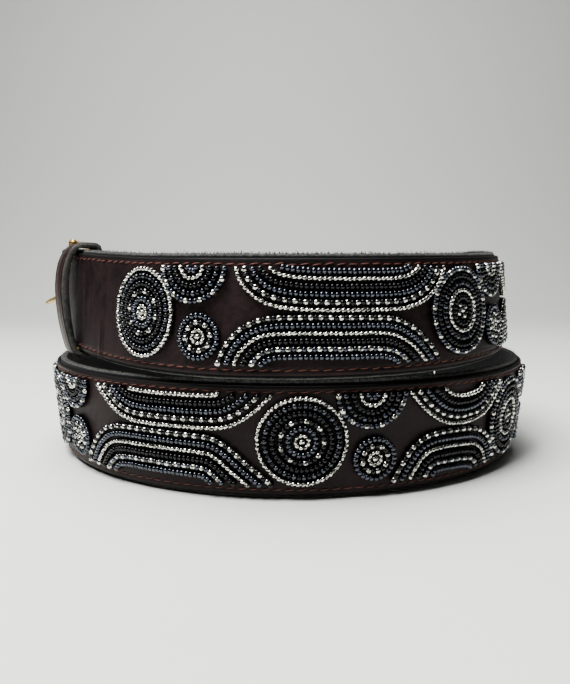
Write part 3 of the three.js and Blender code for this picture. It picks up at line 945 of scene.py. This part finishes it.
K, G, S = Bead.BLACK, Bead.GREY, Bead.SILVER
Rows = Tuple[Tuple[Bead, ...], ...]
Rings = Tuple[Tuple[float, Tuple[Bead, ...], float], ...]

# radius, pattern and bead size of each ring, from the rim to the middle
MEDALLION_BRIGHT: Rings = (
    (12.7, (S,), 1.0), (10.6, (G, K), 1.0), (8.45, (K,), 1.0), (6.25, (K, K, S), 1.0), (4.05, (G,), 1.0),
    (1.9, (S,), 0.9),
)
MEDALLION_DARK: Rings = (
    (12.5, (S, G, G), 1.0), (10.4, (K,), 1.0), (8.3, (G, K), 1.0), (6.15, (S,), 1.0), (4.0, (K,), 1.0),
    (1.9, (S, K), 0.9),
)
SMALL_MEDALLION: Rings = ((5.95, (G,), 1.0), (3.95, (S, K), 1.0), (1.85, (S,), 0.9))
HALF_MEDALLION: Rings = (
    (9.9, (S, G, G), 1.0), (7.8, (G, K), 1.0), (5.7, (K,), 1.0), (3.6, (S,), 1.0), (1.5, (G,), 0.9),
)
# patterns of an arch's rows, from the outside in: the boat opens to the top edge, the bridge to the lower one
BOAT_ROWS: Rows = ((S,), (S, K), (G,), (K,), (S,), (G,))
BRIDGE_ROWS: Rows = ((S, K), (G,), (S,), (K,), (S, G), (G,))

# outer row of each boat and bridge: share of the unit, height above the lower edge
HIGH_BOAT = (
    (0.303, 31.9), (0.312, 28.2), (0.330, 25.6), (0.358, 22.9), (0.396, 21.0), (0.448, 20.0),
    (0.516, 19.5), (0.612, 19.35), (0.709, 19.3), (0.767, 19.5), (0.811, 20.4), (0.851, 22.2),
    (0.884, 24.8), (0.908, 28.2), (0.927, 31.9),
)
HIGH_BRIDGE = (
    (0.253, 3.1), (0.262, 6.2), (0.280, 10.0), (0.307, 13.2), (0.341, 15.6), (0.380, 16.9),
    (0.428, 17.4), (0.516, 17.4), (0.612, 17.2), (0.709, 17.0), (0.763, 15.8), (0.814, 12.9),
    (0.850, 9.5), (0.877, 6.2), (0.893, 3.1),
)
LOW_BOAT = (
    (0.350, 31.9), (0.388, 27.5), (0.421, 24.6), (0.460, 22.4), (0.500, 21.4), (0.561, 21.1),
    (0.630, 21.1), (0.700, 21.1), (0.768, 21.3), (0.808, 22.3), (0.845, 24.3), (0.880, 27.3),
    (0.925, 31.9),
)
LOW_BRIDGE = (
    (0.262, 3.1), (0.275, 7.0), (0.297, 10.3), (0.326, 13.5), (0.362, 16.4), (0.400, 18.0),
    (0.450, 18.8), (0.530, 18.9), (0.620, 18.8), (0.700, 18.6), (0.755, 17.9), (0.800, 15.3),
    (0.844, 11.1), (0.894, 6.8), (0.930, 3.1),
)
SHORT_BOAT = (
    (0.385, 31.9), (0.420, 28.5), (0.450, 26.0), (0.491, 23.6), (0.533, 21.5), (0.579, 20.3),
    (0.635, 19.8), (0.691, 20.0), (0.751, 21.0), (0.798, 22.9), (0.835, 25.8), (0.864, 28.8),
    (0.885, 31.9),
)
SHORT_BRIDGE = (
    (0.335, 3.1), (0.355, 6.4), (0.380, 9.8), (0.407, 12.9), (0.438, 15.3), (0.477, 16.9),
    (0.524, 17.6), (0.600, 17.7), (0.700, 17.2), (0.765, 15.9), (0.820, 13.2), (0.850, 10.2),
    (0.875, 6.5), (0.890, 3.1),
)


@dataclass(frozen=True)
class ArchPair:
    """A boat above and a bridge below, between two medallions."""

    unit: float
    boat: Sequence[Point2]
    bridge: Sequence[Point2]
    boat_spacing: float
    bridge_spacing: float
    boat_rows: Rows


@dataclass(frozen=True)
class MotifUnit:
    """One repeat: a medallion, a half and a small one beside it, and the arches that follow."""

    bright: bool
    arches: Arches
    spread: float = 1.0
    squeeze: float = 1.0


def smooth_curve(points: Sequence[Point2], step: float = 0.4) -> np.ndarray:
    """Smooth curve through the points, sampled evenly.

    Args:
        points: points along and across in millimetres.
        step: spacing of the samples.

    Returns:
        The samples.
    """
    knots = np.array(points)
    padded = np.vstack([2 * knots[0] - knots[1], knots, 2 * knots[-1] - knots[-2]])
    dense = []
    for a, b, c, d in zip(padded[:-3], padded[1:-2], padded[2:-1], padded[3:]):
        dense += [through(a, b, c, d, t) for t in np.linspace(0.0, 1.0, 24, endpoint=False)]
    dense = np.array(dense + [knots[-1]])
    window = 15
    ends = np.vstack([np.repeat(dense[:1], window // 2, axis=0), dense,
                      np.repeat(dense[-1:], window // 2, axis=0)])
    weights = np.ones(window) / window
    dense = np.stack([np.convolve(ends[:, k], weights, mode="valid") for k in (0, 1)], axis=1)
    return read_line(dense, np.arange(0.0, run_marks(dense)[-1], step))


def parallel_line(outline: Sequence[Point2], distance: float, side: Side, end: float) -> np.ndarray:
    """Row parallel to an arch's outer row, without what falls too close to it or past the end line.

    Args:
        outline: control points of the outer row.
        distance: distance inside the outer row.
        side: edge that the arch opens to.
        end: height of the line where rows stop.

    Returns:
        Points of the row.
    """
    curve = smooth_curve(outline)
    steps = np.gradient(curve, axis=0)
    steps /= np.linalg.norm(steps, axis=1, keepdims=True)
    moved = curve + np.stack([-steps[:, 1], steps[:, 0]], axis=1) * int(side) * distance
    apart = np.sqrt(((moved[:, None, :] - curve[None, :, :]) ** 2).sum(axis=2)).min(axis=1)
    kept = (apart > distance - 0.12) & (int(side) * (end - moved[:, 1]) > 0.35)
    return moved[kept]


@dataclass
class Beadwork:
    """All bead fields of the belt, in their order along it."""

    path: CoilPath
    finishes: Finishes
    first_medallion: float = 77.3
    medallion_height: float = BELT_WIDTH / 2 + 0.2
    half_medallion_ahead: float = 19.9
    half_medallion_height: float = BELT_WIDTH - 3.5
    small_medallion_ahead: float = 21.4
    small_medallion_height: float = 11.8
    boat_end: float = BELT_WIDTH - 3.2
    bridge_end: float = 3.7
    shortest_row: int = 8
    pairs: Dict[Arches, ArchPair] = field(default_factory=dict)
    units: Tuple[MotifUnit, ...] = (
        MotifUnit(True, Arches.HIGH, 0.987, 0.9), MotifUnit(False, Arches.SHORT), MotifUnit(True, Arches.LOW),
        MotifUnit(False, Arches.SHORT), MotifUnit(True, Arches.LOW), MotifUnit(False, Arches.LOW),
        MotifUnit(True, Arches.SHORT), MotifUnit(False, Arches.NONE),
    )

    def __post_init__(self) -> None:
        """Sets the arch pairs."""
        self.pairs = {
            Arches.HIGH: ArchPair(103.6, HIGH_BOAT, HIGH_BRIDGE, BEAD_ROW, BEAD_ROW, BOAT_ROWS),
            Arches.LOW: ArchPair(103.6, LOW_BOAT, LOW_BRIDGE, 2.40, 2.40, BOAT_ROWS[:5]),
            Arches.SHORT: ArchPair(80.6, SHORT_BOAT, SHORT_BRIDGE, BEAD_ROW, 2.36, BOAT_ROWS[:5]),
        }

    def field_for(self, node: str) -> BeadField:
        """Starts a bead field.

        Args:
            node: CAD node it stands for.

        Returns:
            The empty field.
        """
        seed = sum(ord(letter) * (place + 1) for place, letter in enumerate(node))
        return BeadField(node, self.path, self.finishes, np.random.default_rng(seed))

    def rings(self, node: str, centre: Point2, rings: Rings, squeeze: float, span: Point2 = (0.0, 360.0)) -> None:
        """Builds a field of rings.

        Args:
            node: CAD node.
            centre: centre along and across.
            rings: radius, pattern and size of each ring.
            squeeze: share of the width along the belt.
            span: start and end angle.
        """
        beads = self.field_for(node)
        for radius, pattern, size in rings:
            beads.ring(centre, radius, pattern, squeeze, span, size)
        if span == (0.0, 360.0):
            beads.beads.append(SetBead(centre[0], centre[1], (1.0, 0.0), S, 0.95))
        beads.build()

    def arch(self, node: str, outline: Sequence[Point2], rows: Rows, spacing: float, side: Side) -> None:
        """Builds an arch of parallel rows.

        Args:
            node: CAD node.
            outline: control points of its outer row.
            rows: pattern of each row from the outside in.
            spacing: distance between rows.
            side: edge that the arch opens to.
        """
        beads = self.field_for(node)
        end = self.boat_end if side == Side.TOP else self.bridge_end
        for index, pattern in enumerate(rows):
            line = parallel_line(outline, index * spacing, side, end)
            if len(line) > self.shortest_row:
                beads.row(line, pattern)
        beads.build()

    def build(self) -> None:
        """Builds every field."""
        start = self.first_medallion
        for number, unit in enumerate(self.units, 1):
            squeeze, halfway = unit.squeeze, (unit.squeeze + 1.0) / 2
            self.rings(f"medallion_{number}", (start, self.medallion_height),
                       MEDALLION_BRIGHT if unit.bright else MEDALLION_DARK, squeeze)
            self.rings(f"half_medallion_{number}",
                       (start + self.half_medallion_ahead * squeeze, self.half_medallion_height),
                       HALF_MEDALLION, max(squeeze, 1.0), (180.0, 360.0))
            self.rings(f"small_medallion_{number}",
                       (start + self.small_medallion_ahead * (squeeze + 1.0) / 2, self.small_medallion_height),
                       SMALL_MEDALLION, halfway)
            if unit.arches is Arches.NONE:
                break
            pair = self.pairs[unit.arches]
            length = pair.unit * unit.spread
            self.arch(f"top_arch_{number}", [(start + length * x, y) for x, y in pair.boat], pair.boat_rows,
                      pair.boat_spacing, Side.TOP)
            self.arch(f"bottom_arch_{number}", [(start + length * x, y) for x, y in pair.bridge], BRIDGE_ROWS,
                      pair.bridge_spacing, Side.BOTTOM)
            start += length


@dataclass
class Strap:
    """The facing, the backing with its fold round the bar, the stitches and the fuzz."""

    path: CoilPath
    finishes: Finishes
    rng: np.random.Generator
    facing_inset: float = 1.3
    backing_bevel: float = 1.05
    fold_radius: float = 3.1
    fold_back: float = 45.0
    fold_merge: float = 14.0
    hole_radius: float = 2.0
    hole_pitch: float = 25.0
    hole_count: int = 5
    first_hole: float = 60.0
    hole_sides: int = 24
    slot_reach: float = 8.0
    slot_height: float = 7.0
    stitch_pitch: float = 3.5
    stitch_inset: float = 3.0
    stitch_profile: Tuple[Point2, ...] = ((-1.3, 0.05), (-1.1, 0.16), (-0.6, 0.24), (0.0, 0.26), (0.6, 0.24),
                                          (1.1, 0.16), (1.3, 0.05))
    fibre_count: int = 5200
    front_fibres: float = 400.0
    # place along the belt, width and rise of each low fold beside the keeper
    swells: Tuple[Point3, ...] = ((41.5, 2.2, 0.40), (47.6, 2.8, 0.22), (53.8, 0.8, 0.55))

    def alongs(self, start: float, step: float) -> np.ndarray:
        """Stations along the strap, closer at the tip.

        Args:
            start: first length along.
            step: spacing.

        Returns:
            The lengths.
        """
        end = self.path.length - self.path.tip_length
        body = np.linspace(start, end, int((end - start) / step) + 1)
        tip = end + self.path.tip_length * np.sin(np.linspace(0, math.pi / 2, 17)[1:])
        return np.concatenate([body, tip])

    def swell(self, along: np.ndarray) -> np.ndarray:
        """Low folds of the facing beside the keeper.

        Args:
            along: lengths along the belt.

        Returns:
            Heights of the folds in millimetres.
        """
        total = np.zeros_like(along)
        for place, width, rise in self.swells:
            total += rise * np.exp(-((along - place) / width) ** 2)
        return total

    def build_facing(self) -> None:
        """Builds the facing with rolled edges and a shallow stitch channel."""
        low = self.facing_inset
        section = [(-FACING_THICKNESS, low), (-0.5, low), (-0.2, low + 0.12), (-0.03, low + 0.4),
                   (0.0, low + 0.8), (0.0, 2.5), (-0.10, 2.8), (-0.10, 3.1), (0.0, 3.4)]
        section += [(0.0, h) for h in (4.0, 8.0, 13.0, 17.5)]
        section += mirrored(section)
        along = self.alongs(self.slot_reach + LAYER_GAP, 1.2)
        outs, heights = np.array(section).T
        swell = self.swell(along)[:, None] * (outs > -0.3)[None]
        points = self.path.place(along[:, None], outs[None] + swell, self.path.narrowed(heights, along))
        sides = len(section)
        # the last five faces of each ring (the top rolled edge and the hidden back) and both end caps take the
        # painted shade finish; the lower rolled edge keeps the facing leather
        dark = [1 if side > sides - 6 else 0 for side in range(sides)]
        kinds = np.array(dark * (len(along) - 1) + [1, 1])
        piece = new_object("strap_facing_leather", points.reshape(-1, 3), loft_faces(len(along), sides), "belt",
                           [self.finishes.facing, self.finishes.burnished], kinds)
        self.bore(piece)
        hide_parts("strap_facing")

    def bore(self, piece: bpy.types.Object) -> None:
        """Bores the adjusting holes through a piece.

        Args:
            piece: facing or backing.
        """
        points, faces = [], []
        for hole in range(self.hole_count):
            along = self.path.length - self.first_hole - hole * self.hole_pitch
            faces += loft_faces(2, self.hole_sides, len(points))
            for out in (-14.0, 8.0):
                for side in range(self.hole_sides):
                    angle = 2 * math.pi * side / self.hole_sides
                    points.append(self.path.square_place(along, self.hole_radius * math.cos(angle), out,
                                                         self.hole_radius * math.sin(angle)))
        cut_away(piece, points, faces)

    def fold_stops(self) -> Tuple[np.ndarray, ...]:
        """Middle line of the backing from the tip round the bar to the end of the fold.

        Returns:
            Lengths along, depths out, and the line's normal along and out.
        """

        def straight(along: np.ndarray, out: np.ndarray, normal: float) -> np.ndarray:
            """Stops of a stretch whose normal points straight out or in."""
            flat = np.zeros_like(along)
            return np.stack([along, flat + out, flat, flat + normal])

        front = straight(self.alongs(0.0, 2.0)[::-1], BACKING_MIDDLE, 1.0)
        angle = np.linspace(0, math.pi, 25)[1:]
        bend = np.stack([-self.fold_radius * np.sin(angle), BAR_OUT + self.fold_radius * np.cos(angle),
                         -np.sin(angle), np.cos(angle)])
        share = np.linspace(0, 1, 13)[1:]
        under = BAR_OUT - self.fold_radius
        eased = share**2 * (3 - 2 * share)
        merge = straight(self.fold_merge * share, under + (FOLD_BACK_MIDDLE - under) * eased, -1.0)
        tail = straight(np.linspace(self.fold_merge, self.fold_back, 16)[1:], FOLD_BACK_MIDDLE, -1.0)
        return tuple(np.concatenate([front, bend, merge, tail], axis=1))

    def build_backing(self) -> None:
        """Builds the backing with rounded fuzzy edges, the fold round the bar and the slot for the tongue."""
        half, bevel = BACKING_THICKNESS / 2, self.backing_bevel
        section = [(half, bevel), (half - 0.12, bevel * 0.55), (half - 0.45, 0.22), (half - 0.95, 0.0),
                   (-half + 0.6, 0.0), (-half + 0.2, 0.12), (-half, 0.5)]
        section += [(-half, h) for h in (5.0, 10.0, 14.0, 17.5)]
        section += mirrored(section)
        section += [(half, h) for h in (30.0, 24.0, 21.0, 14.0, 11.0, 5.0)]
        along, out, normal_along, normal_out = self.fold_stops()
        outs, heights = np.array(section).T
        kept = self.path.narrowed(heights, np.maximum(along, 0.0))
        jitter = self.rng.normal(0, 0.05, kept.shape) * ((heights < 0.3) | (heights > BELT_WIDTH - 0.3))[None]
        points = self.path.place(along[:, None] + normal_along[:, None] * outs[None],
                                 out[:, None] + normal_out[:, None] * outs[None],
                                 np.clip(kept + jitter, 0.0, BELT_WIDTH)).reshape(-1, 3)
        piece = new_object("strap_backing_suede", points, loft_faces(len(along), len(section)), "belt",
                           [self.finishes.suede])
        self.bore(piece)
        self.cut_slot(piece)
        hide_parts("strap_backing")

    def cut_slot(self, piece: bpy.types.Object) -> None:
        """Cuts the slot for the tongue through the fold.

        Args:
            piece: the backing.
        """
        points = [self.path.place(along, out, BELT_WIDTH / 2 + height)
                  for along in (-self.slot_reach, self.slot_reach)
                  for out in (BAR_OUT - 3 * self.fold_radius, BAR_OUT + 3 * self.fold_radius)
                  for height in (-self.slot_height / 2, self.slot_height / 2)]
        cut_away(piece, points,
                 [(0, 1, 3, 2), (4, 6, 7, 5), (0, 4, 5, 1), (2, 3, 7, 6), (0, 2, 6, 4), (1, 5, 7, 3)])

    def build_stitches(self) -> None:
        """Builds the two rows of stitches as one joined mesh."""
        template, quads = turned(self.stitch_profile, 6, 0.7, 0.2)
        one = np.arange(self.slot_reach + 3.0, self.path.length - self.path.tip_length, self.stitch_pitch)
        along = np.concatenate([one, one + 0.8])
        inset = self.stitch_inset
        height = np.concatenate([np.full(len(one), inset), np.full(len(one), BELT_WIDTH - inset)])
        count = len(along)
        tilt = self.rng.normal(0.13, 0.07, count)
        height = height + self.rng.normal(0, 0.06, count)
        centre = self.path.place(along, 0.1 + self.swell(along), height)
        axes = self.path.axes(along, np.stack([np.cos(tilt), np.sin(tilt)], axis=1))
        points = np.einsum("nij,kj->nki", axes, template) + centre[:, None, :]
        piece = new_object("edge_stitches", points.reshape(-1, 3), repeat_faces(quads, len(template), count),
                           "belt", [self.finishes.thread])

    def build_fuzz(self) -> None:
        """Builds the loose fibres on the cut top edge as one joined mesh."""
        rng, count = self.rng, self.fibre_count
        along = rng.uniform(2.0, self.path.length - self.path.tip_length, count)
        depth = BACKING_FACE - rng.uniform(0.1, BACKING_THICKNESS - 0.1, count)
        length = np.abs(rng.normal(0.0, 0.36, count)) + 0.15
        tufts = rng.random(count) > 0.985
        length = np.where(tufts, length + rng.uniform(0.3, 0.9, count), length)
        length = np.minimum(length, np.where(along < self.front_fibres, 1.5, 0.8))
        lean_along, lean_out = rng.normal(0, 0.6, count), rng.normal(0, 0.35, count)
        width = rng.uniform(0.05, 0.11, count)
        root = np.full(count, BELT_WIDTH - 0.25)
        corners = []
        for step, share in ((0.0, 1.0), (0.55, 0.7), (1.0, 0.15)):
            for side in (-1, 1):
                corners.append(self.path.place(along + lean_along * length * step + side * width * share,
                                               depth + lean_out * length * step**2,
                                               root + 0.25 * (step > 0) + length * step * 0.8))
        faces = repeat_faces(np.array([(0, 1, 3, 2), (2, 3, 5, 4)]), len(corners), count)
        piece = new_object("top_edge_fibres", np.stack(corners, axis=1).reshape(-1, 3), faces, "belt",
                           [self.finishes.fibre])

    def build(self) -> None:
        """Builds the strap."""
        self.build_facing()
        self.build_backing()
        self.build_stitches()
        self.build_fuzz()


@dataclass
class Keeper:
    """The leather band closed round the strap and its folded end, bulging outward."""

    path: CoilPath
    finishes: Finishes
    at: float = 30.0
    width: float = 9.0
    thickness: float = 1.75
    clearance: float = 0.4
    bulge: float = 4.3
    samples: int = 160
    # height as a share of the width and bulge as a share of the full bulge, from the lower edge up
    profile: Tuple[Point2, ...] = ((0.03, 0.10), (0.12, 0.38), (0.27, 0.70), (0.46, 0.94), (0.66, 1.00),
                                   (0.84, 0.80), (0.96, 0.30))

    def inner_line(self) -> np.ndarray:
        """Closed line of the band's inner face round the strap, depth out and height.

        Returns:
            Evenly spaced points.
        """
        back = FOLD_BACK_MIDDLE - BACKING_THICKNESS / 2 - self.clearance
        low, high = -self.clearance, BELT_WIDTH + self.clearance
        knots = [(back + 0.4, low), (-1.5, low)]
        knots += [(self.clearance + self.bulge * bulge, BELT_WIDTH * height) for height, bulge in self.profile]
        knots += [(-1.2, high), (back + 0.4, high), (back, high - 0.6), (back, BELT_WIDTH / 2), (back, low + 0.6)]
        knots = np.array(knots)
        closed = np.vstack([knots[-1:], knots, knots[:2]])
        dense = []
        for a, b, c, d in zip(closed[:-3], closed[1:-2], closed[2:-1], closed[3:]):
            span = np.linalg.norm(c - b)
            tight = 0.5 if span > 8 else 1.0
            first, last = (c - a) * 0.5 * tight, (d - b) * 0.5 * tight
            first *= min(1.0, span / max(1e-6, np.linalg.norm(first)))
            last *= min(1.0, span / max(1e-6, np.linalg.norm(last)))
            for t in np.linspace(0.0, 1.0, 12, endpoint=False):
                dense.append((2 * t**3 - 3 * t**2 + 1) * b + (t**3 - 2 * t**2 + t) * first
                             + (-2 * t**3 + 3 * t**2) * c + (t**3 - t**2) * last)
        ring = np.array(dense + dense[:1])
        return read_line(ring, np.linspace(0.0, run_marks(ring)[-1], self.samples, endpoint=False))

    def build(self) -> None:
        """Builds the band with its creased edges."""
        inner = self.inner_line()
        half, thick = self.width / 2, self.thickness
        ahead = np.roll(inner, -1, axis=0) - np.roll(inner, 1, axis=0)
        ahead /= np.linalg.norm(ahead, axis=1, keepdims=True)
        normal = np.stack([ahead[:, 1], -ahead[:, 0]], axis=1)
        if ((inner - inner.mean(axis=0)) * normal).sum() < 0:
            normal = -normal
        section = [(-half, 0.0), (-half, thick * 0.5), (-half + 0.12, thick * 0.8), (-half + 0.45, thick),
                   (-half + 1.3, thick), (-half + 1.55, thick - 0.12), (-half + 1.8, thick), (0.0, thick + 0.06)]
        section += [(-aside, rise) for aside, rise in reversed(section[:-1])]
        origin, tangent, outward, lean = self.path.frames(np.array([self.at]))
        count, sides = len(inner), len(section)
        points = np.zeros((count, sides, 3))
        swollen = np.clip(inner[:, :1] / self.bulge, 0.0, 1.0)
        for index, (aside, rise) in enumerate(section):
            line = inner + normal * (rise - swollen * (1.5 if rise == 0.0 else 0.5))
            out = line[:, 0] + lean[0] * (line[:, 1] - BELT_WIDTH / 2)
            points[:, index] = (origin[0] + tangent[0] * aside + outward[0] * out[:, None]
                                + np.array([0.0, 0.0, 1.0]) * line[:, 1:])
        faces, kinds = [], []
        for ring in range(count):
            here, following = ring * sides, (ring + 1) % count * sides
            for side in range(sides):
                beside = (side + 1) % sides
                faces.append((here + side, here + beside, following + beside, following + side))
                kinds.append(1 if side in (0, 1, sides - 3, sides - 2, sides - 1) else 0)
        piece = new_object("keeper_band", points.reshape(-1, 3), faces, "belt",
                           [self.finishes.keeper, self.finishes.edge], np.array(kinds))
        face_outward(piece.data)
        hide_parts("keeper_loop")


@dataclass(frozen=True)
class SoftLight:
    """A square area light, in metres and watts."""

    name: str
    place: Point3
    size: float
    power: float
    aim: Point3 = (0.0, 0.0, 0.04)

    def build(self) -> None:
        """Adds the light."""
        data = bpy.data.lights.new(self.name, "AREA")
        data.shape = "SQUARE"
        data.size = self.size
        data.energy = self.power
        lamp = bpy.data.objects.new(self.name, data)
        lamp.location = self.place
        lamp.rotation_euler = (Vector(self.aim) - lamp.location).to_track_quat("-Z", "Y").to_euler()
        bpy.context.scene.collection.objects.link(lamp)


@dataclass
class Studio:
    """Floor, backdrop, lights and camera, in metres, with pixels and degrees for the camera."""

    path: CoilPath
    floor_half_width: float = 3.0
    floor_front: float = -1.5
    bend_start: float = 0.62
    bend_radius: float = 0.5
    bend_steps: int = 12
    backdrop_height: float = 2.6
    floor_drop: float = 0.0002
    paper: Paper = Paper("pale_paper", (0.785, 0.795, 0.755))
    lights: Tuple[SoftLight, ...] = (
        SoftLight("key", (-0.26, -0.30, 0.70), 0.34, 8.6),
        SoftLight("top", (-0.10, 0.10, 1.1), 0.8, 11.5),
        SoftLight("backdrop_glow", (-0.2, 0.45, 0.9), 0.6, 0.5, (-0.1, 1.1, 0.2)),
    )
    sky_colour: Colour = (0.93, 0.96, 1.0)
    sky_strength: float = 0.06
    image_height: float = 684.0
    focal_length: float = 666.0
    image_shift: float = -4.9
    camera_back: float = 0.270
    camera_height: float = 0.0652
    camera_tilt: float = 5.89
    sensor: float = 36.0

    def surface(self) -> None:
        """Builds the floor that rises softly into the backdrop."""
        shift = self.path.shift * MM
        rows = [(self.floor_front, 0.0), (self.bend_start, 0.0)]
        for step in range(1, self.bend_steps + 1):
            angle = math.pi / 2 * step / self.bend_steps
            rows.append((self.bend_start + self.bend_radius * math.sin(angle),
                         self.bend_radius * (1 - math.cos(angle))))
        rows.append((self.bend_start + self.bend_radius, self.backdrop_height))
        points = [(side * self.floor_half_width + shift[0], y + shift[1], z - self.floor_drop)
                  for y, z in rows for side in (-1, 1)]
        faces = [(2 * i, 2 * i + 1, 2 * i + 3, 2 * i + 2) for i in range(len(rows) - 1)]
        mesh = bpy.data.meshes.new("studio_floor")
        mesh.from_pydata(points, [], faces)
        mesh.polygons.foreach_set("use_smooth", [True] * len(faces))
        mesh.materials.append(self.paper.make())
        floor = bpy.data.objects.new("studio_floor", mesh)
        bpy.context.scene.collection.objects.link(floor)

    def sky(self) -> None:
        """Sets the faint even light from all round."""
        world = bpy.data.worlds.new("studio_world")
        world.use_nodes = True
        background = world.node_tree.nodes["Background"]
        background.inputs["Color"].default_value = (*self.sky_colour, 1.0)
        background.inputs["Strength"].default_value = self.sky_strength
        bpy.context.scene.world = world

    def camera(self) -> None:
        """Places the camera at the photograph's angle."""
        camera = bpy.data.cameras.new("camera")
        camera.sensor_fit = "VERTICAL"
        camera.sensor_height = self.sensor
        camera.lens = self.focal_length * self.sensor / self.image_height
        camera.shift_x = self.image_shift / self.image_height
        camera.clip_start = 0.01
        view = bpy.data.objects.new("camera", camera)
        shift = self.path.shift * MM
        view.location = (shift[0], -self.camera_back + shift[1], self.camera_height)
        view.rotation_euler = (math.radians(90.0 - self.camera_tilt), 0.0, 0.0)
        bpy.context.scene.collection.objects.link(view)
        bpy.context.scene.camera = view
        bpy.context.scene.view_settings.look = "AgX - Medium High Contrast"

    def build(self) -> None:
        """Builds the studio."""
        self.surface()
        self.sky()
        for light in self.lights:
            light.build()
        self.camera()


@dataclass
class Buckle:
    """The brass frame and tongue, which stay as the solid model has them."""

    frame: Dict[str, Any]
    finishes: Finishes
    nodes: Tuple[str, ...] = ("buckle_frame", "buckle_tongue")

    def dress(self) -> None:
        """Gives both pieces their brass."""
        for node in self.nodes:
            for place in self.frame["nodes"][node].material_slots:
                place.material = self.finishes.brass
            log.info("%s dressed", node)


def main() -> None:
    """Builds the whole visual model in order."""
    logging.basicConfig(level=logging.INFO, format="%(name)s %(message)s")
    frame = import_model()
    joint = frame["record"]["behaviour"]["joints"][0]["pos_m"]
    bar = CoilPath().place(0.0, BAR_OUT, BELT_WIDTH / 2)
    path = CoilPath((joint[0] / MM - float(bar[..., 0]), joint[1] / MM - float(bar[..., 1]), 0.0))
    finishes = Finishes.make()
    Buckle(frame, finishes).dress()
    Strap(path, finishes, np.random.default_rng(11)).build()
    Keeper(path, finishes).build()
    Beadwork(path, finishes).build()
    Studio(path).build()


if __name__ == "__main__":
    main()
